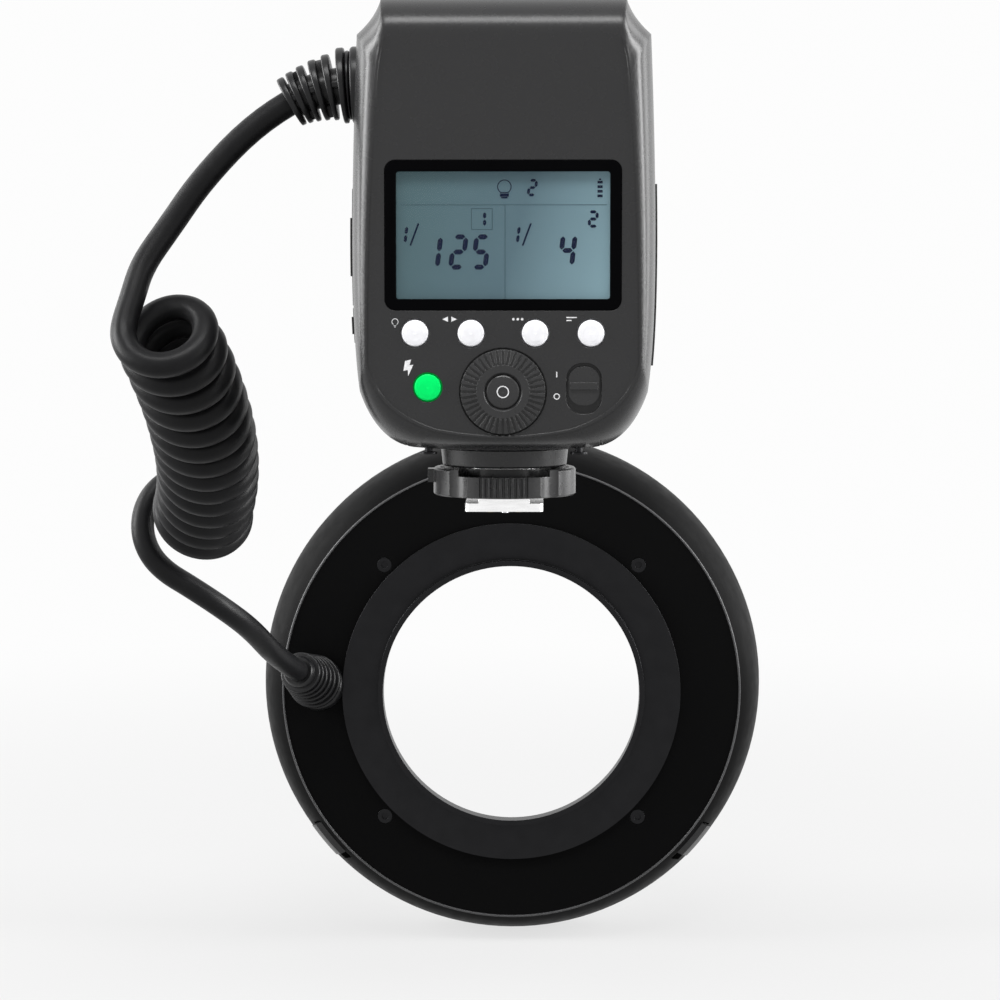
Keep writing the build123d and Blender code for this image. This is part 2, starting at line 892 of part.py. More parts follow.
def make_dial_encoder():
    """Rotary encoder on the board under the dial."""
    half = encoder_width / 2
    body = box_between(-half, half, board_front - encoder_height, board_front,
                       dial_height - half + overrun, dial_height + half)
    return body & panel_slot(2 * board_half, board_top - board_bottom, body_back, board_front, 0,
                             (board_top + board_bottom) / 2, board_round)


def make_power_switch_knob():
    """Oval slide knob with a cross ridge and a stem."""
    x = switch_place[0]
    z = switch_knob_middle()
    floor = body_back + switch_pocket_depth
    back = floor - 2 * running_fit
    front = body_back + seat_gap
    outline = RectangleRounded(switch_knob_width, switch_knob_length,
                               switch_knob_width / 2 - edge_round)
    knob = slab_y(outline, front, back, x, z)
    ridge_half = switch_ridge_width / 2
    ridge_reach = switch_knob_width / 2 - edge_round
    ridge = box_between(x - ridge_reach, x + ridge_reach, front - switch_ridge_proud, back,
                        z - ridge_half, z + ridge_half)
    stem = box_between(x - switch_stem_width / 2, x + switch_stem_width / 2, back - overrun / 2,
                       floor + wall + seat_gap, z - switch_stem_length / 2,
                       z + switch_stem_length / 2)
    return knob + ridge + stem


def make_switch_body():
    """Slide switch on the board."""
    x, z = switch_place
    front = body_back + switch_pocket_depth + wall + 2 * seat_gap
    return box_between(x - switch_body_width / 2, x + switch_body_width / 2, front, board_front,
                       z - switch_body_length / 2 + seat_gap, z + switch_body_length / 2)


# Power parts

def make_main_capacitor():
    """Flash capacitor lying across the housing."""
    y = power_board_rear - capacitor_radius
    half = capacitor_length / 2
    can = rod_x(capacitor_radius, -half, half, y, capacitor_height)
    groove = rod_x(capacitor_radius + overrun, half - boss_radius - capacitor_sleeve_groove * 2,
                   half - boss_radius, y, capacitor_height)
    groove -= rod_x(capacitor_radius - capacitor_sleeve_groove, -half, half, y, capacitor_height)
    return can - groove


def make_transformer():
    """Transformer of the charging circuit, with its core standing out of the coil."""
    half = transformer_width / 2
    front = power_board_rear
    top = transformer_bottom + transformer_height
    core = box_between(-half, half, front - transformer_depth, front, transformer_bottom, top)
    notch = half - tray_wall * 2
    core -= box_between(notch, half + overrun, front - transformer_depth + tray_wall * 2,
                        front - tray_wall * 2, transformer_bottom - overrun, top + overrun)
    core -= box_between(-half - overrun, -notch, front - transformer_depth + tray_wall * 2,
                        front - tray_wall * 2, transformer_bottom - overrun, top + overrun)
    return core


def tray_block(margin, x_low, x_high):
    """Battery space grown by a margin."""
    front = battery_back + battery_thickness
    return box_between(x_low, x_high, battery_back - margin, front + margin,
                       battery_low - margin, battery_low + battery_height + margin)


def make_battery_tray():
    """Tray that the battery slides into, with feet on the power board."""
    inner_end = battery_inner_end - contact_length - seat_gap
    outside = tray_gap + tray_wall
    tray = tray_block(outside, inner_end - tray_wall, tray_mouth)
    tray -= tray_block(tray_gap, inner_end, tray_mouth + overrun)
    back = battery_back + battery_thickness + tray_gap
    for z in (battery_low, battery_low + battery_height - tray_foot_height):
        tray += box_between(inner_end, tray_mouth - 2 * tray_foot_height, back, power_board_rear, z,
                            z + tray_foot_height)
    return tray


def make_battery():
    """Battery pack whose end closes the side of the housing."""
    pack = tray_block(0, battery_inner_end, body_half + overrun) & housing_grown(battery_proud)
    middle = battery_back + battery_thickness / 2
    for index in (-1, 0, 1):
        z = battery_low + battery_height / 2 + index * battery_grip_width * 2
        groove = box_between(body_half / 2, body_half + overrun, middle - battery_thickness / 4,
                             middle + battery_thickness / 4, z - battery_grip_width / 2,
                             z + battery_grip_width / 2)
        pack -= groove - housing_grown(battery_proud - battery_grip_depth)
    return pack


def make_battery_contacts():
    """Three contacts at the tray's closed end."""
    start = battery_inner_end - contact_length - seat_gap
    middle = battery_low + battery_height / 2
    y = battery_back + battery_thickness / 2
    return [box_between(start, start + contact_length, y - contact_width / 2, y + contact_width / 2,
                        middle + i * contact_spacing - contact_width / 2,
                        middle + i * contact_spacing + contact_width / 2) for i in (-1, 0, 1)]


def make_battery_latch():
    """Sliding latch over the battery, with a ribbed finger pad."""
    y = battery_back + battery_thickness / 2
    half = latch_width / 2
    pad = side_plate(1, y - half, y + half, latch_low, latch_low + latch_height, latch_proud,
                     wall + 2 * seat_gap)
    plate = side_plate(1, y - half - latch_plate_overlap, y + half + latch_plate_overlap,
                       latch_low, latch_low + latch_height + latch_plate_overlap,
                       -wall - seat_gap, wall + seat_gap + latch_plate)
    latch = pad + plate
    for index in range(latch_rib_count):
        z = latch_low + (index + 1) * latch_height / (latch_rib_count + 1)
        groove = box_between(body_half / 2, body_half + overrun, y - half, y + half,
                             z - latch_rib_width / 2, z + latch_rib_width / 2)
        latch -= groove - housing_grown(latch_proud - latch_rib_width)
    return latch


# Ports

def make_side_cover(z_low, height):
    """Rubber cover lying in its pocket, with a finger lip at its back edge."""
    cover = side_plate(-1, port_back, port_front, z_low, z_low + height, cover_proud,
                       cover_sink - 2 * running_fit)
    lip = side_plate(-1, port_back, port_back + cover_lip, z_low + height / 4,
                     z_low + height * 3 / 4, cover_proud + edge_round, 0)
    return cover + lip


def make_port_board():
    """Small upright board that carries the sockets."""
    back = board_back + screw_head_height + seat_gap
    return box_between(port_board_place - port_board_thickness, port_board_place, back,
                       port_board_front, port_board_low, port_board_high)


def make_usb_socket():
    """Data socket behind the larger cover."""
    end = -body_half + cover_sink + wall
    shell = usb_opening(0, end, port_board_place - port_board_thickness)
    slot = usb_opening(-edge_round, end - overrun, end + wall + overrun)
    return shell - slot


def make_sync_socket():
    """Sync socket behind the smaller cover."""
    end = -body_half + cover_sink + wall
    socket = rod_x(sync_radius, end, port_board_place - port_board_thickness, socket_place,
                   sync_middle())
    return socket - rod_x(sync_bore_radius, end - overrun, end + 2 * wall, socket_place,
                          sync_middle())


# Front window

def make_assist_window():
    """Red window on the front of the housing."""
    fit = 2 * screw_fit
    return panel_slot(2 * assist_half - fit, assist_height - fit, body_front - assist_thickness,
                      body_front, 0, assist_low + assist_height / 2, assist_round - screw_fit)


def make_assist_lamp():
    """Lamp behind the red window, on the power board."""
    middle = assist_low + assist_height / 2
    base = box_between(-lamp_width / 2, lamp_width / 2, power_board_front, body_front - 2 * wall,
                       middle - lamp_height / 2, middle + lamp_height / 2)
    bulb = rod_y(lamp_height / 2 - wall / 2, power_board_front,
                 body_front - assist_thickness - seat_gap, 0, middle)
    return base + bulb


def make_cover_screws():
    """Four round-headed screws under the housing."""
    screws = []
    low = body_underside - cover_screw_proud
    for y in (rear_screw_place, front_screw_place):
        for side in (-1, 1):
            x = side * screw_half_spread
            head = rod_z(cover_screw_head_radius, low, body_underside, x, y)
            shaft = rod_z(screw_radius, low, body_underside + cover_screw_length, x, y)
            screws.append(head + shaft)
    return screws


# Foot

def make_foot_plate():
    """Metal foot: plate, neck and round boss, hollow for the lock pin and contacts."""
    plate_outline = RectangleRounded(foot_width, foot_length, foot_corner)
    plate = extrude(plate_outline, amount=foot_thickness)
    neck_top = foot_thickness + rail_space
    neck = box_between(-neck_width / 2, neck_width / 2, -foot_length / 2, foot_length / 2,
                       foot_thickness - overrun / 2, neck_top)
    boss = rod_z(foot_boss_radius, neck_top, body_underside, 0, 0)
    foot = plate + neck + boss
    insert_half = insert_width / 2 + insert_fit
    y_middle = insert_middle()
    y_half = insert_length / 2 + insert_fit
    foot -= box_between(-insert_half, insert_half, y_middle - y_half, y_middle + y_half, -overrun,
                        insert_depth)
    foot -= rod_z(lock_pin_radius + running_fit, -overrun, lock_hole_top(), 0, lock_pin_place)
    foot -= rod_z(lock_head_radius + running_fit, lock_shoulder(), lock_hole_top(), 0,
                  lock_pin_place)
    return foot


def pin_places():
    """Places of the five contacts: one in the middle and two rows of two."""
    return [(0, 0)] + [(side * pin_spread, row) for row in pin_rows for side in (-1, 1)]


def insert_middle():
    """Place along Y of the contact block, behind the lock pin."""
    front = lock_pin_place - lock_pin_radius - seat_gap - insert_fit
    return front - insert_length / 2 - seat_gap


def lock_hole_top():
    """Top of the lock pin's hole, with room for the pressed spring."""
    return lock_pin_top + lock_pin_travel + spring_room


def lock_shoulder():
    """Height of the step that the lock pin's head rests on."""
    return lock_pin_top - lock_head_height - running_fit


def make_contact_block():
    """Insulating block in the underside of the foot."""
    block = box_between(-insert_width / 2, insert_width / 2, insert_middle() - insert_length / 2,
                        insert_middle() + insert_length / 2, 0, insert_depth)
    for x, y in pin_places():
        block -= rod_z(pin_radius + running_fit, -overrun, insert_depth + overrun, x, y)
    return block


def make_shoe_contacts():
    """Five contact pins."""
    return [rod_z(pin_radius, -pin_proud, insert_depth - running_fit, x, y)
            for x, y in pin_places()]


def make_lock_pin():
    """Pin that drops into the shoe when the wheel is turned to lock."""
    pin = rod_z(lock_pin_radius, -lock_pin_proud, lock_pin_top, 0, lock_pin_place)
    return pin + rod_z(lock_head_radius, lock_pin_top - lock_head_height, lock_pin_top, 0,
                       lock_pin_place)


def make_lock_spring():
    """Coil spring over the lock pin."""
    low = lock_pin_top + spring_wire + running_fit
    pitch = (lock_hole_top() - spring_wire - running_fit - low) / spring_turns
    path = Pos(0, lock_pin_place, low) * Helix(pitch, pitch * spring_turns, spring_radius)
    section = Plane(path @ 0, z_dir=path % 0) * Circle(spring_wire / 2)
    return sweep(section, path)


def make_shoe_collar():
    """Tapered collar between the housing and the lock wheel."""
    top = body_underside - running_fit
    inner = foot_boss_radius + running_fit
    points = [(inner, collar_low), (collar_low_radius - edge_round, collar_low),
              (collar_low_radius, collar_low + edge_round), (collar_radius, top), (inner, top)]
    face = make_face(Polyline(*[(radius, 0, high) for radius, high in points], close=True))
    return revolve(face, axis=Axis.Z)


def make_lock_lever():
    """Lock wheel: a shallow cup with waists, ribs and two tabs."""
    low = foot_thickness + rail_space
    bore = foot_boss_radius + running_fit
    points = [(bore, low), (wheel_radius - edge_round, low), (wheel_radius, low + edge_round),
              (wheel_radius, wheel_top - edge_round), (wheel_radius - edge_round, wheel_top),
              (wheel_dish_outer, wheel_top), (wheel_dish_outer, wheel_dish_floor),
              (wheel_dish_inner, wheel_dish_floor), (wheel_dish_inner, wheel_top),
              (bore, wheel_top)]
    face = make_face(Polyline(*[(radius, 0, high) for radius, high in points], close=True))
    wheel = revolve(face, axis=Axis.Z)
    reach = wheel_radius + wheel_waist_radius - wheel_waist_depth
    for side in (90, -90):
        for waist in (-wheel_waist_turn, wheel_waist_turn):
            turn = math.radians(side + waist)
            wheel -= rod_z(wheel_waist_radius, 0, wheel_top + overrun, reach * math.cos(turn),
                           reach * math.sin(turn))
        for index in range(wheel_groove_count):
            step = (index - (wheel_groove_count - 1) / 2) * wheel_groove_angle
            turn = math.radians(side + step)
            wheel -= rod_z(wheel_groove_radius, 0, wheel_top + overrun,
                           wheel_radius * math.cos(turn), wheel_radius * math.sin(turn))
        near, far = sorted((math.copysign(wheel_dish_inner, side),
                            math.copysign(wheel_radius + overrun, side)))
        wheel -= box_between(-wheel_low_half, wheel_low_half, near, far,
                             wheel_top - wheel_low_front, wheel_top + overrun)
    half = wheel_tab_width / 2
    tab = box_between(-wheel_radius - wheel_tab_proud, -wheel_dish_outer, -half, half,
                      wheel_top - edge_round - wheel_tab_height, wheel_top - edge_round)
    return wheel + tab


# Cord

def relief_axis(distance):
    """Place on the bent relief's axis and the turn of the axis there."""
    turn = distance / relief_bend_radius
    x = relief_base - relief_bend_radius * math.sin(turn)
    z = relief_height - relief_bend_radius * (1 - math.cos(turn))
    return Vector(x, 0, z), Vector(-math.cos(turn), 0, -math.sin(turn))


def relief_length():
    """Length of the bent relief along its axis."""
    return relief_bend_radius * math.radians(relief_bend_angle)


def make_strain_relief():
    """Bent rubber relief: a core with rings joined by staggered bridges."""
    length = relief_length()
    middle, _ = relief_axis(length / 2)
    tip, _ = relief_axis(length)
    start, way = relief_axis(0)
    path = ThreePointArc(start, middle, tip)
    relief = sweep(Plane(start, z_dir=way) * Circle(relief_core_radius), path)
    inner_end = -body_half + wall + 2 * wall
    relief += rod_x(relief_plug_radius, relief_base - overrun, inner_end, 0, relief_height)
    flange = rod_x(relief_flange_radius, relief_base - relief_flange, relief_base + wall, 0,
                   relief_height)
    relief += flange - housing_grown(running_fit)
    last = relief_ring_count - 1
    for index in range(relief_ring_count):
        place, way = relief_axis(relief_ring_first + index * relief_ring_step)
        radius = relief_base_radius + (relief_tip_radius - relief_base_radius) * index / last
        ring = Plane(place, z_dir=way) * Cylinder(radius, relief_ring_thickness)
        relief += ring
        if index < last:
            between, way = relief_axis(relief_ring_first + (index + 1 / 2) * relief_ring_step)
            bridge = Box(relief_bridge_width, 2 * (radius - edge_round), relief_ring_step)
            quarter = 90 * (index % 2)
            relief += Plane(between, x_dir=(0, 1, 0), z_dir=way) * Rot(0, 0, quarter) * bridge
    return relief


def coil_point(turn):
    """Point of the coil's centre line at a number of turns along its bowed axis."""
    start, end, bow = Vector(coil_start), Vector(coil_end), Vector(coil_bow)
    share = turn / coil_turns
    middle = start + (end - start) * share + bow * (4 * share * (1 - share))
    way = ((end - start) + bow * (4 * (1 - 2 * share))).normalized()
    side = (Vector(1, 0, 0) - way * way.dot(Vector(1, 0, 0))).normalized()
    up = side.cross(way)
    growth = max(0, (turn - (coil_turns - last_loop_turns)) / last_loop_turns)
    radius = coil_radius + coil_spread * max(0, min(1, turn / coil_spread_turns))
    radius += last_loop_growth * growth * growth * (3 - 2 * growth)
    middle += way * (last_loop_rise * growth * growth)
    angle = math.pi + 2 * math.pi * turn
    return middle + side * (radius * math.cos(angle)) + up * (radius * math.sin(angle))


def coil_way(turn):
    """Direction of the coil's centre line."""
    step = 1 / 1000
    return (coil_point(turn + step) - coil_point(turn - step)).normalized()


def biarc(start, start_way, end, end_way):
    """Two arcs that leave and arrive in given directions."""
    chord = end - start
    square = 2 * (1 - start_way.dot(end_way))
    linear = 2 * chord.dot(start_way + end_way)
    reach = (-linear + math.sqrt(linear * linear + 4 * square * chord.dot(chord))) / (2 * square)
    first = start + start_way * reach
    second = end - end_way * reach
    joint = (first + second) * (1 / 2)
    joint_way = (second - first).normalized()
    return [TangentArc(start, joint, tangent=start_way), TangentArc(joint, end, tangent=joint_way)]


def coil_gap():
    """Least gap between neighbouring turns of the coil, measured on points."""
    steps = 36
    count = int((coil_turns - coil_first_turn) * steps)
    points = [coil_point(coil_first_turn + i / steps) for i in range(count + 1)]
    gaps = [(a - b).length for i, a in enumerate(points)
            for b in points[i + steps // 2:i + steps * 2]]
    return min(gaps) - cord_diameter


def make_cord_coil():
    """The coil: one unbroken tube with a straight piece of one diameter at each end."""
    quarters = round((coil_turns - coil_first_turn) * 4)
    step = (coil_turns - coil_first_turn) / quarters
    marks = [coil_first_turn + i * step for i in range(quarters + 1)]
    points = [coil_point(mark) for mark in marks]
    ways = [coil_way(mark) for mark in marks]
    edges = [Line(coil_entry(), points[0])]
    for i in range(quarters):
        edges += biarc(points[i], ways[i], points[i + 1], ways[i + 1])
    edges.append(Line(points[-1], coil_exit()))
    section = Plane(coil_entry(), z_dir=ways[0]) * Circle(cord_diameter / 2)
    return sweep(section, Wire(edges))


def coil_entry():
    """Point where the upper cord meets the coil."""
    return coil_point(coil_first_turn) - coil_way(coil_first_turn) * cord_diameter


def coil_exit():
    """Point where the coil meets the lower cord."""
    return coil_point(coil_turns) + coil_way(coil_turns) * cord_diameter


def corner_radii(points):
    """As large a radius at each corner as its two runs allow."""
    radii = []
    for before, here, after in zip(points, points[1:], points[2:]):
        first = here - before
        second = after - here
        turn = math.radians(first.get_angle(second))
        radii.append(0.45 * min(first.length, second.length) / math.tan(turn / 2))
    return radii


def cord_tube(name, points):
    """Plain tube along straight runs joined by arcs."""
    points = [Vector(*point) for point in points]
    radii = corner_radii(points)
    path = FilletPolyline(*points, radius=radii)
    section = Plane(points[0], z_dir=points[1] - points[0]) * Circle(cord_diameter / 2)
    tube = sweep(section, path)
    expected = math.pi * cord_diameter ** 2 / 4 * path.length
    print(name, "radii", [round(radius, 1) for radius in radii], "length", round(path.length, 1),
          "volume share", round(tube.volume / expected, 4))
    return tube


def make_cord_upper():
    """Free cord from the controller's relief down to the coil."""
    tip, way = relief_axis(relief_length())
    after = tip + way * upper_first_run
    before = coil_entry() - coil_way(coil_first_turn) * upper_last_run
    return cord_tube("cord_upper", [tip, after] + upper_route + [before, coil_entry()])


def gland_way():
    """Direction in which the ring head's relief points."""
    return Vector(gland_lean).normalized()


def gland_base():
    """Point where the relief's axis meets the ring head's back."""
    return Vector(-gland_reach, ring_back, ring_height + gland_rise)


def gland_tip():
    """Point where the cord enters the ring head's relief."""
    return gland_base() + gland_way() * gland_length


def make_cord_lower():
    """Free cord from the coil to the ring head's relief."""
    after = coil_exit() + coil_way(coil_turns) * lower_first_run
    before = gland_tip() + gland_way() * lower_last_run
    return cord_tube("cord_lower", [coil_exit(), after] + lower_route + [before, gland_tip()])


def make_ring_gland():
    """Tapered relief on the back of the ring head."""
    way = gland_way()
    base = gland_base()
    middle = base + way * ((gland_length - gland_root_radius) / 2)
    length = gland_length + gland_root_radius
    body = Plane(middle, z_dir=way) * Cone(gland_root_radius, gland_tip_radius, length)
    for index in range(gland_ring_count):
        distance = gland_ring_first + index * gland_ring_step
        share = distance / gland_length
        radius = gland_root_radius + (gland_tip_radius - gland_root_radius) * share
        ring = Cylinder(radius + gland_ring_height, gland_ring_thickness)
        body += Plane(base + way * distance, z_dir=way) * ring
    keep = box_between(-ring_radius, 0, 0, ring_back, ring_height - ring_radius,
                       ring_height + ring_radius)
    return body & keep


# Ring head

def ring_turned(points, turn=360, start=0):
    """Solid of revolution about the ring head's axis."""
    return turned_y(points, 0, ring_height, turn, start)


def ring_spot(circle, turn):
    """Place on a circle round the ring head's axis, counted from the right."""
    angle = math.radians(turn)
    return circle * math.cos(angle), ring_height + circle * math.sin(angle)


def ring_shell(inset):
    """Solid inside the ring head's outer surface, drawn in by a margin."""
    back = ring_back + inset
    outer = ring_radius - inset
    edge = ring_back_radius - inset
    wide, deep = ring_flank_shares
    middle = (edge + (outer - edge) * wide, back + (ring_seam - back) * deep)
    plane = Plane(origin=(0, 0, ring_height), x_dir=(1, 0, 0), z_dir=(0, 0, 1))
    start = bore_radius + bore_wall / 2
    flank = passing_curve((edge, back), middle, (outer, ring_seam))
    lines = [Line((start, back), (edge, back)), flank,
             Line((outer, ring_seam), (start, ring_seam)), Line((start, ring_seam), (start, back))]
    face = plane * make_face(lines)
    return revolve(face, axis=Axis((0, 0, ring_height), (0, 1, 0)))


def latch_place(side, along, across):
    """Place of a latch point: down along the tangent and outwards from the ring's axis."""
    turn = math.radians(-latch_turn)
    radial = (math.cos(turn), math.sin(turn))
    tangent = (math.sin(turn), -math.cos(turn))
    x = radial[0] * across + tangent[0] * along
    z = radial[1] * across + tangent[1] * along
    return side * x, ring_height + z


def latch_block(side, along_low, along_high, across_low, across_high, y_low, y_high):
    """Block laid square to the latch's own directions."""
    corners = [(along_low, across_low), (along_high, across_low), (along_high, across_high),
               (along_low, across_high)]
    points = [latch_place(side, along, across) for along, across in corners]
    face = make_face(Polyline(*[(x, y_low, z) for x, z in points], close=True))
    return extrude(face, amount=y_high - y_low, dir=(0, 1, 0))


def tooth_end():
    """Place across a latch where its tooth ends, inside the adapter ring's groove."""
    return math.sqrt((bore_radius - tooth_reach) ** 2 - latch_arm ** 2)


def latch_slots(side):
    """Openings in the casing for one latch's tooth and pad."""
    low = latch_bar_back - latch_slot_gap
    high = latch_bar_back + latch_bar_thickness + latch_slot_gap
    swing = math.sin(math.radians(latch_swing))
    half = tooth_width / 2 + latch_slot_gap
    way_in = (latch_pivot_circle - tooth_end()) * swing
    tooth = latch_block(side, -latch_arm - half - way_in, -latch_arm + half, tooth_end() - overrun,
                        bore_radius + bore_wall + 2 * overrun, low, high)
    half = pad_width / 2 + latch_slot_gap
    way_out = (ring_radius - latch_pivot_circle) * swing
    pad = latch_block(side, latch_arm - half, latch_arm + half + way_out,
                      latch_pivot_circle + wall, ring_radius + overrun, low, high)
    return [tooth, pad]


def make_ring_rear_casing():
    """Ring-shaped rear casing with its bore wall, bosses and openings."""
    casing = ring_shell(0) - ring_shell(wall)
    lip = ring_front - wall - seat_gap / 2
    casing += ring_turned([(bore_radius, ring_back), (bore_radius + bore_wall, ring_back),
                           (bore_radius + bore_wall, lip), (bore_radius, lip)])
    floor = ring_back + wall
    for turn in ring_screw_turns:
        x, z = ring_spot(ring_screw_circle, turn)
        casing += rod_y(ring_boss_radius, floor - overrun, ring_board_back, x, z)
    for turn in ring_screw_turns:
        x, z = ring_spot(ring_screw_circle, turn)
        casing -= rod_y(ring_screw_radius + screw_fit, ring_back - overrun,
                        ring_board_back + overrun, x, z)
        casing -= rod_y(ring_screw_head_radius + screw_fit, ring_back - overrun,
                        ring_back + ring_screw_head_height + running_fit, x, z)
    for side in (-1, 1):
        for slot in latch_slots(side):
            casing -= slot
        x, z = latch_place(side, 0, latch_pivot_circle)
        casing -= rod_y(latch_pin_radius, floor - wall / 2, floor + overrun, x, z)
    casing -= rod_y(cord_diameter / 2, ring_back - overrun, floor + overrun, gland_base().X,
                    gland_base().Z)
    return casing


def make_ring_front_bezel():
    """Outer front ring of the head."""
    back = ring_seam + ring_seam_gap
    inner = ring_radius - wall
    lip = ring_radius - bezel_lip - trim_lip
    points = [(inner, back), (ring_radius, back), (ring_radius, ring_front - bezel_edge_round),
              (ring_radius - bezel_edge_round / 3, ring_front - bezel_edge_round / 3),
              (ring_radius - bezel_edge_round, ring_front), (lip, ring_front),
              (lip, ring_front - wall), (inner, ring_front - wall)]
    return ring_turned(points)


def make_ring_front_trim():
    """Inner front ring of the head, with the lugs that its screws pull on."""
    back = ring_front - wall
    trim = ring_turned([(bore_radius, back), (trim_outer, back), (trim_outer, ring_front),
                        (bore_radius + edge_round, ring_front),
                        (bore_radius, ring_front - edge_round)])
    lug_end = ring_board_back + ring_board_thickness + seat_gap
    for turn in ring_screw_turns:
        x, z = ring_spot(ring_screw_circle, turn)
        trim += rod_y(lug_radius, lug_end, back + overrun, x, z)
    for turn in ring_screw_turns:
        x, z = ring_spot(ring_screw_circle, turn)
        screw_end = ring_back + ring_screw_length + seat_gap
        trim -= rod_y(ring_screw_radius + screw_fit, lug_end - overrun, screw_end, x, z)
    for turn in lamp_turns:
        x, z = ring_spot(lamp_circle, turn)
        trim -= rod_y(lamp_window_radius + running_fit, back - overrun, ring_front + overrun, x, z)
    return trim


def make_diffuser():
    """Frosted ring over the tubes, with concentric ridges on its front."""
    inner = trim_outer - diffuser_overlap
    outer = ring_radius - bezel_lip - trim_lip + diffuser_overlap
    front = ring_front - wall
    back = front - diffuser_thickness
    seen_inner = trim_outer + seat_gap
    seen_outer = ring_radius - bezel_lip - trim_lip - seat_gap
    step = (seen_outer - seen_inner) / diffuser_ridge_count
    points = [(inner, back), (outer, back), (outer, front), (seen_outer, front)]
    for index in range(diffuser_ridge_count):
        high = seen_outer - (index + 1 / 2) * step
        low = seen_outer - (index + 1) * step
        points += [(high, front + diffuser_ridge_height), (low, front)]
    points.append((inner, front))
    return ring_turned(points)


def make_reflectors():
    """Two curved troughs behind the flash tubes."""
    back = reflector_bottom
    front = ring_front - wall - diffuser_thickness - seat_gap
    slope = (reflector_outer - reflector_inner) / 4
    inner, outer = reflector_inner, reflector_outer
    thin = reflector_wall
    points = [(inner + slope, back), (outer - slope, back), (outer, front), (outer - thin, front),
              (outer - slope - thin, back + thin), (inner + slope + thin, back + thin),
              (inner + thin, front), (inner, front)]
    start = (180 - reflector_turn) / 2
    return [ring_turned(points, reflector_turn, start + half) for half in (90, 270)]


def tube_arc(radius, turn, start):
    """Part of a ring tube round the ring head's axis."""
    circle = Pos(tube_circle, tube_place, ring_height) * Circle(radius)
    solid = revolve(circle, axis=Axis((0, 0, ring_height), (0, 1, 0)), revolution_arc=turn)
    return Pos(0, 0, ring_height) * Rot(0, start, 0) * Pos(0, 0, -ring_height) * solid


def make_flash_tubes():
    """Two curved glass tubes."""
    start = (180 - tube_turn) / 2
    return [tube_arc(tube_radius, tube_turn, start + half) for half in (90, 270)]


def make_tube_end_caps():
    """Metal caps on the tubes' ends."""
    caps = []
    for half in (90, 270):
        start = half + (180 - tube_turn) / 2
        caps.append(tube_arc(cap_radius, cap_turn, start - cap_turn))
        caps.append(tube_arc(cap_radius, cap_turn, start + tube_turn))
    return caps


def make_modelling_lamps():
    """Four lamps on posts from the ring board."""
    lamps = []
    back = ring_board_back + ring_board_thickness
    top = ring_front - lamp_window_thickness - seat_gap
    half = lamp_post_width / 2
    for turn in lamp_turns:
        x, z = ring_spot(lamp_circle, turn)
        post = box_between(x - half, x + half, back, top - 2 * lamp_radius, z - half, z + half)
        lamps.append(post + rod_y(lamp_radius, back, top, x, z))
    return lamps


def make_lamp_windows():
    """Clear discs over the four lamps."""
    back = ring_front - lamp_window_thickness
    windows = []
    for turn in lamp_turns:
        x, z = ring_spot(lamp_circle, turn)
        windows.append(rod_y(lamp_window_radius, back, ring_front, x, z))
    return windows


def make_ring_board():
    """Ring-shaped circuit board."""
    back = ring_board_back
    front = back + ring_board_thickness
    board = ring_turned([(ring_board_inner, back), (ring_board_outer, back),
                         (ring_board_outer, front), (ring_board_inner, front)])
    for turn in ring_screw_turns:
        x, z = ring_spot(ring_screw_circle, turn)
        board -= rod_y(ring_screw_radius + 2 * screw_fit, back - overrun, front + overrun, x, z)
    return board


def make_ring_screws():
    """Four screws in the back of the ring head."""
    screws = []
    for turn in ring_screw_turns:
        x, z = ring_spot(ring_screw_circle, turn)
        seat = ring_back + ring_screw_head_height
        head = rod_y(ring_screw_head_radius, ring_back, seat, x, z)
        head -= rod_y(ring_screw_radius, ring_back - overrun,
                      ring_back + ring_screw_head_height / 2, x, z)
        shaft = rod_y(ring_screw_radius, seat - edge_round, ring_back + ring_screw_length, x, z)
        screws.append(head + shaft)
    return screws


def make_latch(side):
    """Rocking latch: a bar with a tooth at one end and a finger pad at the other."""
    low = latch_bar_back
    high = low + latch_bar_thickness
    half = latch_bar_width / 2
    end = latch_arm + tooth_width / 2
    inner, outer = latch_pivot_circle - half, latch_pivot_circle + half
    bar = latch_block(side, -end, end, inner, outer, low, high)
    tooth = latch_block(side, -end, -end + tooth_width, tooth_end(), latch_pivot_circle, low, high)
    pad = latch_block(side, latch_arm - pad_width / 2, latch_arm + pad_width / 2,
                      latch_pivot_circle - half, ring_radius + overrun, low, high)
    pad &= ring_shell(-pad_proud)
    x, z = latch_place(side, 0, latch_pivot_circle)
    hub = rod_y(latch_hub_radius, low, high, x, z)
    return bar + tooth + pad + hub - rod_y(latch_pin_radius + running_fit, low - overrun,
                                           high + overrun, x, z)


def make_latch_pins():
    """Pivot pins of the two latches."""
    pins = []
    for side in (-1, 1):
        x, z = latch_place(side, 0, latch_pivot_circle)
        low = ring_back + wall - wall / 2
        pin = rod_y(latch_pin_radius, low, ring_board_back - seat_gap, x, z)
        head_low = latch_bar_back + latch_bar_thickness + running_fit
        pins.append(pin + rod_y(latch_hub_radius, head_low, ring_board_back - seat_gap, x, z))
    return pins


def make_adapter_ring():
    """Turning ring that screws onto the lens."""
    skirt = bore_radius - running_fit
    flange_back = ring_back - seat_gap - adapter_flange
    groove_front = adapter_groove_back + adapter_groove_length
    back = flange_back - thread_length
    points = [(adapter_opening, back), (thread_radius, back), (thread_radius, flange_back),
              (adapter_flange_radius, flange_back), (adapter_flange_radius, ring_back - seat_gap),
              (skirt, ring_back - seat_gap), (skirt, adapter_groove_back),
              (adapter_groove, adapter_groove_back), (adapter_groove, groove_front),
              (skirt, groove_front), (skirt, adapter_front), (adapter_skirt, adapter_front),
              (adapter_skirt, ring_back + wall), (adapter_opening, ring_back)]
    return ring_turned(points)


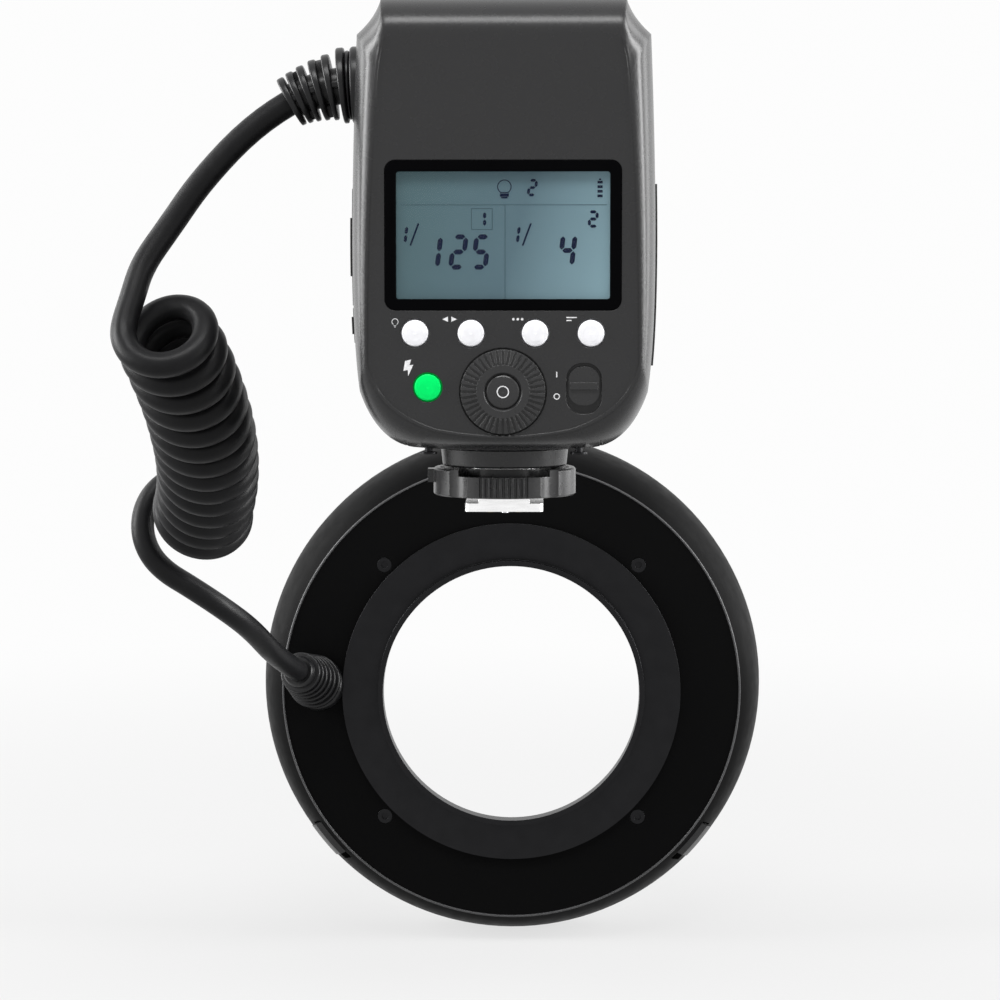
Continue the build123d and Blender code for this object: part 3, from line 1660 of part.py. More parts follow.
def build_parts():
    """Every piece under its own name."""
    parts = {
        "rear_cover": make_rear_cover(),
        "front_cover": make_front_cover(),
        "lcd_bezel": make_lcd_bezel(),
        "lcd_window": make_lcd_window(),
        "lcd_module": make_lcd_module(),
        "main_board": make_main_board(),
        "board_screws": make_board_screws(),
        "button_pad": make_button_pad(),
        "test_button": make_push_button(*test_button_place),
        "dial": make_dial(),
        "set_button": make_set_button(),
        "dial_encoder": make_dial_encoder(),
        "power_switch_knob": make_power_switch_knob(),
        "switch_body": make_switch_body(),
        "power_board": make_power_board(),
        "main_capacitor": make_main_capacitor(),
        "transformer": make_transformer(),
        "battery_tray": make_battery_tray(),
        "battery": make_battery(),
        "battery_latch": make_battery_latch(),
        "battery_contacts": make_battery_contacts(),
        "port_board": make_port_board(),
        "usb_socket": make_usb_socket(),
        "sync_socket": make_sync_socket(),
        "port_cover": make_side_cover(port_low, port_height),
        "sync_cover": make_side_cover(sync_low, sync_height),
        "assist_window": make_assist_window(),
        "assist_lamp": make_assist_lamp(),
        "cover_screws": make_cover_screws(),
        "shoe_collar": make_shoe_collar(),
        "lock_lever": make_lock_lever(),
        "foot_plate": make_foot_plate(),
        "contact_block": make_contact_block(),
        "shoe_contacts": make_shoe_contacts(),
        "lock_pin": make_lock_pin(),
        "lock_spring": make_lock_spring(),
        "strain_relief": make_strain_relief(),
        "cord_upper": make_cord_upper(),
        "cord_coil": make_cord_coil(),
        "cord_lower": make_cord_lower(),
        "ring_gland": make_ring_gland(),
        "ring_rear_casing": make_ring_rear_casing(),
        "ring_front_bezel": make_ring_front_bezel(),
        "ring_front_trim": make_ring_front_trim(),
        "diffuser": make_diffuser(),
        "reflectors": make_reflectors(),
        "flash_tubes": make_flash_tubes(),
        "tube_end_caps": make_tube_end_caps(),
        "modelling_lamps": make_modelling_lamps(),
        "lamp_windows": make_lamp_windows(),
        "ring_board": make_ring_board(),
        "ring_screws": make_ring_screws(),
        "latch_left": make_latch(-1),
        "latch_right": make_latch(1),
        "latch_pins": make_latch_pins(),
        "adapter_ring": make_adapter_ring(),
    }
    for name, x in zip(button_names, button_places):
        parts[name] = make_push_button(x, button_row)
    return parts


os.makedirs("parts", exist_ok=True)
print("least gap in the coil", round(coil_gap(), 2))
for name, shape in build_parts().items():
    solids = shape if isinstance(shape, list) else [shape]
    export_step(Compound(children=[solid for piece in solids for solid in piece.solids()]),
                f"parts/{name}.step")
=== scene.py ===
import math

import bmesh
import bpy
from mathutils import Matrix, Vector


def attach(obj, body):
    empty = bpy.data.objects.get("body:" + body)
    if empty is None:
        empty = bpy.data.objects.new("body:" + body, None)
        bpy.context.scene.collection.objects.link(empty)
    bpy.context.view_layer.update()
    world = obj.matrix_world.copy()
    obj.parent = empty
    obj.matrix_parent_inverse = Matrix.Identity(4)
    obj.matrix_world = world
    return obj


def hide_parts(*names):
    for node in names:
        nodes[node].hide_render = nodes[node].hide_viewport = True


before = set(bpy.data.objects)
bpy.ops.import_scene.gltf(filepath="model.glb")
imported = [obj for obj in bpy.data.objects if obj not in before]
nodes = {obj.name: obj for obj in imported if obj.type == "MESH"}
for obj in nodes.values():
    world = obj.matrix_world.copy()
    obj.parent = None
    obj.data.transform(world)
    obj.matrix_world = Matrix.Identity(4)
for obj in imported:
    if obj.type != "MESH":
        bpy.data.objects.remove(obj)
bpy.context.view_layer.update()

MM = 0.001
MAIN = "flash"

# Sizes repeated from the solids, in millimetres
PANEL = -27.0          # the rear panel's face, along y
GLASS = -25.5          # the display's face, along y
SET_FACE = -28.62      # the face of the dial's middle button, along y
CORD_DIAMETER = 6.2
RING_BACK = 134.4      # the ring head's back, along y
RING_HEIGHT = -64.0    # the ring head's middle, along z


# Helpers

def mm(*point):
    """Point in metres from millimetres."""
    return Vector(point) * MM


def on_circle(radius, turn):
    """Point at a turn, in radians, on a circle round zero."""
    return radius * math.cos(turn), radius * math.sin(turn)


def add_object(name, data):
    """New object in the scene."""
    made = bpy.data.objects.new(name, data)
    bpy.context.scene.collection.objects.link(made)
    return made


def add_mesh(name, shape, material):
    """New mesh object from a bmesh, which is used up."""
    mesh = bpy.data.meshes.new(name)
    shape.to_mesh(mesh)
    shape.free()
    mesh.materials.append(material)
    return add_object(name, mesh)


def add_facing(name, data, place, aim):
    """Camera or lamp at a place, facing a point."""
    made = add_object(name, data)
    made.location = place
    made.rotation_mode = "QUATERNION"
    made.rotation_quaternion = (Vector(aim) - Vector(place)).to_track_quat("-Z", "Y")
    return made


def add_node(tree, kind, inputs, **settings):
    """Shader node whose inputs are values or the outputs of other nodes."""
    node = tree.nodes.new("ShaderNode" + kind)
    for name, value in settings.items():
        setattr(node, name, value)
    for key, value in inputs.items():
        if isinstance(value, bpy.types.NodeSocket):
            tree.links.new(value, node.inputs[key])
        else:
            node.inputs[key].default_value = value
    return node


def calculate(tree, operation, *sources):
    """Result of one operation on numbers."""
    return add_node(tree, "Math", dict(enumerate(sources)), operation=operation).outputs["Value"]


def rescale(tree, source, before, after, **settings):
    """Source brought from the range before to the range after."""
    inputs = {"Value": source, "From Min": before[0], "From Max": before[1],
              "To Min": after[0], "To Max": after[1]}
    return add_node(tree, "MapRange", inputs, **settings).outputs["Result"]


# Camera

CAMERA_PLACE = mm(9.7, -680.0, 55.0)
CAMERA_AIM = mm(-1.12, 0, 2.12)
LENS = 101.84
SENSOR = 36


def make_camera():
    """Camera behind the controller, a little above its middle."""
    data = bpy.data.cameras.new("camera")
    data.lens = LENS
    data.sensor_width = SENSOR
    data.clip_start = 0.01
    data.clip_end = 50
    bpy.context.scene.camera = add_facing("camera", data, CAMERA_PLACE, CAMERA_AIM)


# Cord: one curve from the controller's relief through the coil to the ring head's relief.
# Places and lengths in millimetres

RELIEF_TIP = Vector((-51.5, 0, 97.086))
RELIEF_ANGLE = math.radians(30)
RELIEF_WAY = Vector((-math.cos(RELIEF_ANGLE), 0, -math.sin(RELIEF_ANGLE)))
GLAND_BASE = Vector((-56.0, RING_BACK, -62.0))
GLAND_WAY = Vector((-0.22, -0.92, 0.32)).normalized()
GLAND_LENGTH = 20.0
UPPER_ROUTE = [Vector((-72.2, -1.9, 79.0)), Vector((-80.0, -4.0, 67.4))]
LOWER_ROUTE = [Vector((-69.9, 82.5, -39.6))]
# Straight stretches at the controller's relief, into the coil, out of it and at the ring head
RELIEF_LEAD = 9
ENTRY_LEAD = 9
EXIT_LEAD = 11
GLAND_LEAD = 19.5

COIL_TURNS = 14.18
COIL_FIRST = -0.04
COIL_START = Vector((-80.3, -16.0, 44.0))
COIL_LINE = Vector((-83.2, 73.0, -9.2)) - COIL_START
COIL_BOW = Vector((6.0, 0.7, -3.0))
COIL_RADIUS = 9.4
# The radius grows by SPREAD over the first turns, and the last turn opens and leans out
SPREAD = 0.6
SPREAD_TURNS = 6
LAST_TURNS = 1.0
LAST_GROWTH = 4.7
LAST_RISE = 6.0
TURN_STEPS = 16


def coil_point(turn, grow=1.0):
    """Point of the coil's centre line, its radius multiplied by grow."""
    share = turn / COIL_TURNS
    middle = COIL_START + COIL_LINE * share + COIL_BOW * (4 * share * (1 - share))
    way = (COIL_LINE + COIL_BOW * (4 * (1 - 2 * share))).normalized()
    side = (Vector((1, 0, 0)) - way * way.x).normalized()
    up = side.cross(way)
    growth = max(0, (turn - (COIL_TURNS - LAST_TURNS)) / LAST_TURNS)
    radius = COIL_RADIUS + SPREAD * max(0, min(1, turn / SPREAD_TURNS))
    radius += LAST_GROWTH * growth * growth * (3 - 2 * growth)
    middle = middle + way * (LAST_RISE * growth * growth)
    along_side, along_up = on_circle(radius * grow, math.pi + math.tau * turn)
    return middle + side * along_side + up * along_up


def coil_way(turn):
    """Direction of the coil's centre line."""
    return (coil_point(turn + 0.001) - coil_point(turn - 0.001)).normalized()


def cord_points():
    """Control points of the cord, in millimetres."""
    span = COIL_TURNS - COIL_FIRST
    count = round(span * TURN_STEPS)
    step = span / count
    grow = 1 / math.cos(math.pi / TURN_STEPS)
    coil = [coil_point(COIL_FIRST + i * step, grow) for i in range(count + 1)]
    entry_way = coil_way(COIL_FIRST)
    entry = coil_point(COIL_FIRST) - entry_way * CORD_DIAMETER
    exit_way = coil_way(COIL_TURNS)
    leave = coil_point(COIL_TURNS) + exit_way * CORD_DIAMETER
    tip = GLAND_BASE + GLAND_WAY * GLAND_LENGTH
    return [RELIEF_TIP, RELIEF_TIP + RELIEF_WAY * RELIEF_LEAD, *UPPER_ROUTE,
            entry - entry_way * ENTRY_LEAD, entry, *coil, leave, leave + exit_way * EXIT_LEAD,
            *LOWER_ROUTE, tip + GLAND_WAY * GLAND_LEAD, tip]


def make_cord():
    """The cord as one smooth curve with its round section."""
    data = bpy.data.curves.new("cord", "CURVE")
    data.dimensions = "3D"
    data.bevel_depth = CORD_DIAMETER / 2 * MM
    data.bevel_resolution = 7
    data.resolution_u = 5
    spline = data.splines.new("NURBS")
    points = cord_points()
    spline.points.add(len(points) - 1)
    for place, point in zip(spline.points, points):
        place.co = (*(point * MM), 1)
    spline.order_u = 3
    spline.use_endpoint_u = True
    data.materials.append(cord_rubber())
    cord = add_object("cord", data)
    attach(cord, MAIN)
    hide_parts("cord_upper", "cord_coil", "cord_lower")


# Materials. Noise scales count per metre; radii and depths are in millimetres

NOISE_RANGE = (0.3, 0.7)      # where nearly all noise values lie
WORN_RANGE = (0.93, 0.6)      # how square to the flat face a rounded edge looks, where worn
NARROW_EDGE = 0.3
EDGE_SAMPLES = 5
WIDE_SAMPLES = 12


class Paint:
    """A node material with a principled shader, and helpers for its detail."""

    def __init__(self, name, color, roughness, **more):
        self.material = bpy.data.materials.new(name)
        self.material.use_nodes = True
        self.tree = self.material.node_tree
        self.shader = self.tree.nodes["Principled BSDF"]
        self.shader.inputs["Base Color"].default_value = (*color, 1)
        self.shader.inputs["Roughness"].default_value = roughness
        for key, value in more.items():
            self.shader.inputs[key.replace("_", " ")].default_value = value
        self.coordinates = add_node(self.tree, "TexCoord", {}).outputs["Object"]
        self.rounded = None

    def link(self, source, name):
        """Source led into one of the shader's inputs."""
        self.tree.links.new(source, self.shader.inputs[name])

    def noise(self, scale, detail, stretch=(1, 1, 1)):
        """Soft noise."""
        mapping = add_node(self.tree, "Mapping", {"Vector": self.coordinates, "Scale": stretch})
        inputs = {"Vector": mapping.outputs["Vector"], "Scale": scale, "Detail": detail}
        return add_node(self.tree, "TexNoise", inputs).outputs["Fac"]

    def cells(self, scale):
        """Distances within cells, for a moulded grain."""
        inputs = {"Vector": self.coordinates, "Scale": scale}
        return add_node(self.tree, "TexVoronoi", inputs).outputs["Distance"]

    def ramp(self, source, first, last, between=()):
        """Colour of a source through stops, each a position and a colour."""
        node = add_node(self.tree, "ValToRGB", {"Fac": source})
        stops = node.color_ramp.elements
        for stop, (position, color) in zip(stops, (first, last)):
            stop.position = position
            stop.color = (*color, 1)
        for position, color in between:
            stops.new(position).color = (*color, 1)
        return node.outputs["Color"]

    def vary_roughness(self, source, low, high):
        """Uneven roughness."""
        self.link(rescale(self.tree, source, NOISE_RANGE, (low, high)), "Roughness")

    def vary_color(self, source, dark, light):
        """Uneven colour between two colours."""
        start, end = NOISE_RANGE
        self.link(self.ramp(source, (start, dark), (end, light)), "Base Color")

    def round_edges(self, radius, samples):
        """Normals that make edges look rounded by a radius in metres."""
        bevel = add_node(self.tree, "Bevel", {"Radius": radius}, samples=samples)
        self.rounded = bevel.outputs["Normal"]

    def edges(self, radius, worn, amount=0.3):
        """Edges that look rounded, and a little lighter where hands rub them."""
        self.round_edges(radius * MM, EDGE_SAMPLES)
        flat = add_node(self.tree, "NewGeometry", {}).outputs["Normal"]
        square = add_node(self.tree, "VectorMath", {0: self.rounded, 1: flat},
                          operation="DOT_PRODUCT").outputs["Value"]
        mask = rescale(self.tree, square, WORN_RANGE, (0, amount))
        patches = rescale(self.tree, self.noise(350, 3), NOISE_RANGE, (0.5, 1))
        color = self.shader.inputs["Base Color"].links[0].from_socket
        inputs = {"Fac": calculate(self.tree, "MULTIPLY", mask, patches),
                  "Color1": color, "Color2": (*worn, 1)}
        self.link(add_node(self.tree, "MixRGB", inputs).outputs["Color"], "Base Color")

    def wide_edges(self, radius, sides, top):
        """Wider rounding towards the sides and the top, each from one place to another."""
        split = add_node(self.tree, "SeparateXYZ", {"Vector": self.coordinates})
        aside = calculate(self.tree, "ABSOLUTE", split.outputs["X"])
        radii = (NARROW_EDGE * MM, radius * MM)
        at_sides = rescale(self.tree, aside, [place * MM for place in sides], radii)
        at_top = rescale(self.tree, split.outputs["Z"], [place * MM for place in top], radii)
        self.round_edges(calculate(self.tree, "MAXIMUM", at_sides, at_top), WIDE_SAMPLES)

    def bump(self, source, strength, depth):
        """Fine relief from a source. Gives the finished material."""
        inputs = {"Height": source, "Strength": strength, "Distance": depth * MM}
        if self.rounded:
            inputs["Normal"] = self.rounded
        self.link(add_node(self.tree, "Bump", inputs).outputs["Normal"], "Normal")
        return self.material


def scaled(color, factor):
    """Colour made lighter or darker."""
    return [min(1, channel * factor) for channel in color]


def near_black(tone):
    """Grey with a trace of blue."""
    return tone, tone, tone * 1.03


def cord_rubber():
    """Semi-gloss jacket of the cord."""
    paint = Paint("cord_rubber", (0.007, 0.007, 0.0075), 0.4, Specular_IOR_Level=0.12)
    paint.vary_color(paint.noise(160, 3), (0.006, 0.006, 0.0065), (0.008, 0.008, 0.0085))
    paint.vary_roughness(paint.noise(420, 4), 0.33, 0.45)
    return paint.bump(paint.noise(2600, 3), 0.35, 0.05)


def relief_rubber():
    """Glossy black rubber of the reliefs."""
    paint = Paint("relief_rubber", (0.006, 0.006, 0.0065), 0.3, Specular_IOR_Level=0.25)
    paint.vary_color(paint.noise(300, 3), (0.005, 0.005, 0.0055), (0.007, 0.007, 0.0075))
    paint.vary_roughness(paint.noise(700, 3), 0.27, 0.36)
    return paint.bump(paint.noise(2400, 2), 0.12, 0.03)


def moulded_rubber():
    """Matt dark grey rubber."""
    tone = 0.02
    paint = Paint("moulded_rubber", (tone,) * 3, 0.6, Specular_IOR_Level=0.25)
    paint.vary_color(paint.noise(200, 3), (tone * 0.85,) * 3, (tone * 1.2,) * 3)
    paint.vary_roughness(paint.noise(500, 4), 0.5, 0.65)
    paint.edges(0.25, (tone * 1.8,) * 3)
    return paint.bump(paint.noise(3500, 3), 0.3, 0.05)


def grained_plastic(name, tone=0.018, grain=5200, rough=(0.255, 0.285), gloss=0.3, edge=0.3,
                    wide=None):
    """Fine-grained satin plastic."""
    paint = Paint(name, near_black(tone), 0.4, Specular_IOR_Level=gloss)
    paint.vary_color(paint.noise(60, 2), near_black(tone * 0.98), near_black(tone * 1.02))
    paint.vary_roughness(paint.noise(300, 3), *rough)
    paint.edges(edge, (tone * 2, tone * 2, tone * 2.05), 0.25)
    if wide:
        paint.wide_edges(*wide)
    return paint.bump(paint.cells(grain), 0.03, 0.008)


def gloss_plastic(name, color, rough=0.12, gloss=0.5):
    """Smooth moulded plastic with faint waviness."""
    paint = Paint(name, color, rough, Specular_IOR_Level=gloss)
    paint.vary_roughness(paint.noise(300, 3), rough * 0.8, rough * 1.3)
    paint.vary_color(paint.noise(120, 2), scaled(color, 0.9), scaled(color, 1.1))
    paint.edges(0.2, [channel * 3 + 0.01 for channel in color])
    return paint.bump(paint.noise(500, 2), 0.05, 0.05)


def metal(name, color, rough=(0.2, 0.34), stretch=(1, 30, 1)):
    """Machined metal with fine lines."""
    paint = Paint(name, color, 0.28, Metallic=1.0)
    paint.vary_roughness(paint.noise(1500, 4, stretch), *rough)
    paint.vary_color(paint.noise(200, 3, stretch), scaled(color, 0.92), scaled(color, 1.04))
    paint.edges(0.15, scaled(color, 1.3))
    return paint.bump(paint.noise(1800, 2, stretch), 0.05, 0.01)


def display_face():
    """Lit display, lighter towards its right-hand edge."""
    paint = Paint("display_face", (0.13, 0.21, 0.24), 0.35, Specular_IOR_Level=0.1,
                  Emission_Strength=0.35)
    across = add_node(paint.tree, "VectorMath", {0: paint.coordinates, 1: (1, 0, -0.3)},
                      operation="DOT_PRODUCT").outputs["Value"]
    share = rescale(paint.tree, across, (-0.0486, 0.0094), (0, 1))
    color = paint.ramp(share, (0.0, (0.070, 0.119, 0.131)), (1.0, (0.205, 0.32, 0.365)),
                       [(0.55, (0.080, 0.129, 0.153)), (0.88, (0.165, 0.258, 0.295))])
    paint.link(color, "Base Color")
    paint.link(color, "Emission Color")
    return paint.bump(paint.cells(9000), 0.05, 0.02)


def ink(name, color, dark, light, scale=900, gloss=0.15):
    """Flat print, on the display or on the rear panel."""
    paint = Paint(name, color, 0.5, Specular_IOR_Level=gloss)
    paint.vary_color(paint.noise(scale, 2), dark, light)
    return paint.material


def clear_pane(name, tint, alpha):
    """Thin clear pane: mostly see-through, with a gloss."""
    paint = Paint(name, tint, 0.04, Alpha=alpha)
    return paint.bump(paint.noise(60, 2), 0.02, 0.05)


def painted_glow_plastic(name, color, strength, gloss):
    """Coloured plastic with a little painted glow: an emission that lifts its brightness."""
    paint = Paint(name, color, 0.4, Specular_IOR_Level=gloss, Emission_Strength=strength,
                  Emission_Color=(*color, 1))
    paint.vary_color(paint.noise(500, 2), scaled(color, 0.93), scaled(color, 1.05))
    return paint.bump(paint.noise(1800, 2), 0.06, 0.04)


def frosted_plastic():
    """Frosted plastic over the flash tubes."""
    paint = Paint("frosted_plastic", (0.86, 0.87, 0.88), 0.45, Subsurface_Weight=0.2,
                  Subsurface_Radius=(0.004, 0.004, 0.004), Subsurface_Scale=1.0)
    paint.vary_color(paint.noise(40, 3), (0.80, 0.81, 0.825), (0.88, 0.885, 0.89))
    return paint.bump(paint.cells(1400), 0.25, 0.12)


def circuit_board():
    """Green circuit board with darker tracks."""
    paint = Paint("circuit_board", (0.02, 0.12, 0.06), 0.35)
    paint.vary_color(paint.cells(420), (0.012, 0.09, 0.045), (0.035, 0.17, 0.08))
    return paint.bump(paint.cells(900), 0.2, 0.05)


def dress_nodes():
    """Materials of the solids that keep their own shape."""
    dressed = (
        (grained_plastic("rear_plastic", wide=(2.6, (28.2, 30.8), (107, 111))), "rear_cover"),
        (grained_plastic("housing_plastic"), "front_cover", "battery"),
        (grained_plastic("control_plastic", 0.018, 5200, (0.24, 0.32), 0.35, 0.2),
         "shoe_collar", "dial", "set_button", "power_switch_knob", "battery_latch",
         "lock_lever", "latch_left", "latch_right", "contact_block"),
        (grained_plastic("head_plastic", 0.003, 4200, (0.36, 0.46), 0.02),
         "ring_rear_casing", "ring_front_bezel", "ring_front_trim"),
        (grained_plastic("grey_plastic", 0.09), "dial_encoder", "switch_body", "battery_tray"),
        (gloss_plastic("gloss_black", (0.0015, 0.0015, 0.0018), 0.08, 0.012), "lcd_bezel"),
        (gloss_plastic("red_window", (0.22, 0.004, 0.01), 0.07), "assist_window"),
        (gloss_plastic("capacitor_sleeve", (0.01, 0.015, 0.08), 0.25), "main_capacitor"),
        (gloss_plastic("winding_tape", (0.4, 0.28, 0.04), 0.3), "transformer"),
        (clear_pane("clear_pane", (0.02, 0.025, 0.03), 0.06), "lcd_window"),
        (clear_pane("lamp_lens", (0.9, 0.9, 0.92), 0.35),
         "assist_lamp", "modelling_lamps", "lamp_windows", "flash_tubes"),
        (display_face(), "lcd_module"),
        (frosted_plastic(), "diffuser"),
        # White and green keys, with a little painted glow that lifts their brightness
        (painted_glow_plastic("white_key", (0.81, 0.81, 0.835), 0.02, 0.15),
         "light_button", "arrow_button", "custom_button", "ratio_button"),
        (painted_glow_plastic("green_key", (0.0, 0.70, 0.125), 0.16, 0.08), "test_button"),
        (moulded_rubber(), "button_pad", "port_cover", "sync_cover"),
        (relief_rubber(), "strain_relief", "ring_gland"),
        (circuit_board(), "main_board", "power_board", "port_board", "ring_board"),
        (metal("anodised_metal", (0.018, 0.018, 0.019), (0.3, 0.42)),
         "cover_screws", "ring_screws", "adapter_ring"),
        (metal("foot_metal", (0.94, 0.94, 0.94), (0.18, 0.28), (1, 1, 6)), "foot_plate"),
        (metal("bright_steel", (0.72, 0.72, 0.73)), "lock_pin", "lock_spring"),
        (metal("screw_steel", (0.5, 0.5, 0.51)),
         "board_screws", "latch_pins", "usb_socket", "sync_socket", "tube_end_caps"),
        (metal("gold_contact", (0.83, 0.62, 0.28)), "battery_contacts", "shoe_contacts"),
        (metal("mirror_metal", (0.86, 0.86, 0.87), (0.08, 0.16)), "reflectors"),
    )
    for material, *names in dressed:
        for name in names:
            data = nodes[name].data
            data.materials.clear()
            data.materials.append(material)


# Rounded forms: the reliefs' rings and bridges on their cores, and the ring head's fine line
# with its painted highlight

SHARP_ANGLE = 0.7
TURN_SIDES = 64
RELIEF_START = Vector((-35.4, 0, 101.4))
RELIEF_BEND = 32.2
# Distances along the relief and radii of its rings
RELIEF_RINGS = [(3.1, 9.0), (6.1, 7.9), (8.9, 7.4), (11.5, 6.95), (13.9, 6.55), (16.0, 6.25)]
RELIEF_TAPER = [(0.5 + 16.3 * i / 12, 4.5 - 0.4 * i / 12) for i in range(13)]
RELIEF_CORE = [(-4.0, 5.2), (0.2, 5.2), *RELIEF_TAPER]
RELIEF_FLANGE = [(-1.2, 5.0), (-1.2, 9.1), (0.6, 9.1), (0.95, 8.95), (1.15, 8.6), (1.2, 5.0)]
GLAND_RINGS = [(4.0, 7.8), (6.8, 7.35), (9.5, 6.95), (12.1, 6.55), (14.6, 6.2), (17.0, 5.85)]
GLAND_CORE = [(-1.5, 7.6), (0.8, 7.6), (1.2, 7.3), (2.6, 6.0), (16.0, 4.7), (19.2, 4.5),
              (20.0, 4.0)]
RING_HALF = 0.78       # half a ring's width
RING_ROUND = 0.42      # its edges' radius
ROUND_STEPS = 4
BRIDGE_WIDTH = 1.7
BRIDGE_DROP = 0.45     # from the lower ring's top down to the bridge's top
# Corners of a bridge's section: share of its height, share of half its width
BRIDGE_SECTION = ((0.5, -1), (0.93, -1), (1, -0.55), (1, 0.55), (0.93, 1), (0.5, 1))
BEAD_RADIUS = 66.2
BEAD_HALF = 0.32
BEAD_STEPS = 256
BEAD_SIDES = 10


def relief_place(distance):
    """Place and direction on the bent relief's axis."""
    turn = distance / RELIEF_BEND
    place = RELIEF_START + Vector((-math.sin(turn), 0, math.cos(turn) - 1)) * RELIEF_BEND
    return place, Vector((-math.cos(turn), 0, -math.sin(turn)))


def gland_place(distance):
    """Place and direction on the ring head's relief axis."""
    return GLAND_BASE + GLAND_WAY * distance, GLAND_WAY


def square_to(way):
    """Two directions square to a direction, the first one near the viewer's."""
    side = Vector((0, -1, 0)) + way * way.y
    if side.length < 0.5:
        side = Vector((0, 0, 1)) - way * way.z
    side.normalize()
    return side, way.cross(side)


def add_skin(shape, rows):
    """Faces between neighbouring rows of points, each row closed on itself."""
    for low, high in zip(rows, rows[1:]):
        for i in range(len(low)):
            j = (i + 1) % len(low)
            shape.faces.new((low[i], low[j], high[j], high[i]))


def add_closed(shape, rows):
    """Skin over rows of points, with a lid at either end."""
    add_skin(shape, rows)
    shape.faces.new(rows[0][::-1])
    shape.faces.new(rows[-1])


def add_turned(shape, place_at, profile):
    """Turned form whose profile gives distances on an axis and radii."""
    rows = []
    for distance, radius in profile:
        place, way = place_at(distance)
        side, up = square_to(way)
        row = []
        for i in range(TURN_SIDES):
            x, y = on_circle(radius, math.tau * i / TURN_SIDES)
            row.append(shape.verts.new((place + side * x + up * y) * MM))
        rows.append(row)
    add_closed(shape, rows)


def ring_profile(distance, radius, half, root):
    """Profile of a ring with rounded edges that stands on a core."""
    corner = []
    for i in range(ROUND_STEPS + 1):
        x, y = on_circle(RING_ROUND, math.pi / 2 * i / ROUND_STEPS)
        corner.append((half - RING_ROUND + x, radius - RING_ROUND + y))
    crown = [(-half, root)] + [(-x, y) for x, y in corner] + corner[::-1] + [(half, root)]
    return [(distance + x, y) for x, y in crown]


def add_bridge(shape, place_at, low, high, radius, turn):
    """Bar between two rings, on one side of the core."""
    rows = []
    for distance in (low, high):
        place, way = place_at(distance)
        side, up = square_to(way)
        out = side * math.cos(turn) + up * math.sin(turn)
        across = way.cross(out) * (BRIDGE_WIDTH / 2)
        rows.append([shape.verts.new((place + out * (radius * height) + across * width) * MM)
                     for height, width in BRIDGE_SECTION])
    add_closed(shape, rows)


def add_rounded(name, shape, material):
    """Mesh object with smooth faces and only its sharper edges sharp, on the main body."""
    bmesh.ops.recalc_face_normals(shape, faces=shape.faces[:])
    for face in shape.faces:
        face.smooth = True
    for edge in shape.edges:
        edge.smooth = len(edge.link_faces) == 2 and edge.calc_face_angle(0) < SHARP_ANGLE
    piece = add_mesh(name, shape, material)
    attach(piece, MAIN)
    return piece


def make_relief(name, node, place_at, rings, profiles, first_turn):
    """One relief, built up from its profiles, rings and bridges."""
    shape = bmesh.new()
    for profile in profiles:
        add_turned(shape, place_at, profile)
    for distance, radius in rings:
        add_turned(shape, place_at, ring_profile(distance, radius, RING_HALF, radius * 0.5))
    for i, (low, high) in enumerate(zip(rings, rings[1:])):
        radius = min(low[1], high[1]) - BRIDGE_DROP
        for half_turn in (0, math.pi):
            turn = first_turn + half_turn + (math.pi / 2) * (i % 2)
            add_bridge(shape, place_at, low[0], high[0], radius, turn)
    piece = add_rounded(name, shape, nodes[node].data.materials[0])
    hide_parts(node)


def make_reliefs():
    """The controller's bent relief and the ring head's straight one."""
    collar = ring_profile(1.75, 8.2, 0.45, 5.0)
    make_relief("relief_rings", "strain_relief", relief_place, RELIEF_RINGS,
                (RELIEF_CORE, RELIEF_FLANGE, collar), 0)
    make_relief("gland_rings", "ring_gland", gland_place, GLAND_RINGS, (GLAND_CORE,), 0.4)


def make_bead():
    """Fine raised line round the ring head's rear casing, in a plastic much lighter than the
    casing: a painted highlight along the edge there.
    """
    shape = bmesh.new()
    rows = []
    for i in range(BEAD_STEPS):
        row = []
        for j in range(BEAD_SIDES):
            out, back = on_circle(BEAD_HALF, math.tau * j / BEAD_SIDES)
            x, z = on_circle(BEAD_RADIUS + out, math.tau * i / BEAD_STEPS)
            row.append(shape.verts.new(mm(x, RING_BACK + back, RING_HEIGHT + z)))
        rows.append(row)
    add_skin(shape, rows + rows[:1])
    # Tone 0.05 against the casing's 0.003: the lighter colour is a painted highlight of the edge
    material = grained_plastic("highlight_line_plastic", 0.05, 4200, (0.25, 0.32))
    piece = add_rounded("casing_highlight_line", shape, material)


# Flat marks: thin plates in a plane that faces the viewer, in millimetres

def plates(name, shapes, y, thickness, material, body=MAIN):
    """One object of thin plates from outlines of (x, z) points."""
    shape = bmesh.new()
    for outline in shapes:
        shape.faces.new([shape.verts.new(mm(x, y, z)) for x, z in outline])
    bmesh.ops.recalc_face_normals(shape, faces=shape.faces[:])
    bmesh.ops.triangulate(shape, faces=shape.faces[:])
    made = bmesh.ops.extrude_face_region(shape, geom=shape.faces[:])
    moved = [part for part in made["geom"] if isinstance(part, bmesh.types.BMVert)]
    bmesh.ops.translate(shape, verts=moved, vec=mm(0, -thickness, 0))
    bmesh.ops.recalc_face_normals(shape, faces=shape.faces[:])
    piece = add_mesh(name, shape, material)
    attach(piece, body)


def bar(x0, z0, x1, z1, width):
    """Outline of a straight bar between two points."""
    along = Vector((x1 - x0, z1 - z0))
    side = Vector((-along.y, along.x)).normalized() * (width / 2)
    return [(x0 + side.x, z0 + side.y), (x0 - side.x, z0 - side.y),
            (x1 - side.x, z1 - side.y), (x1 + side.x, z1 + side.y)]


def disc(x, z, radius, steps=20):
    """Outline of a disc."""
    points = [on_circle(radius, math.tau * i / steps) for i in range(steps)]
    return [(x + along, z + up) for along, up in points]


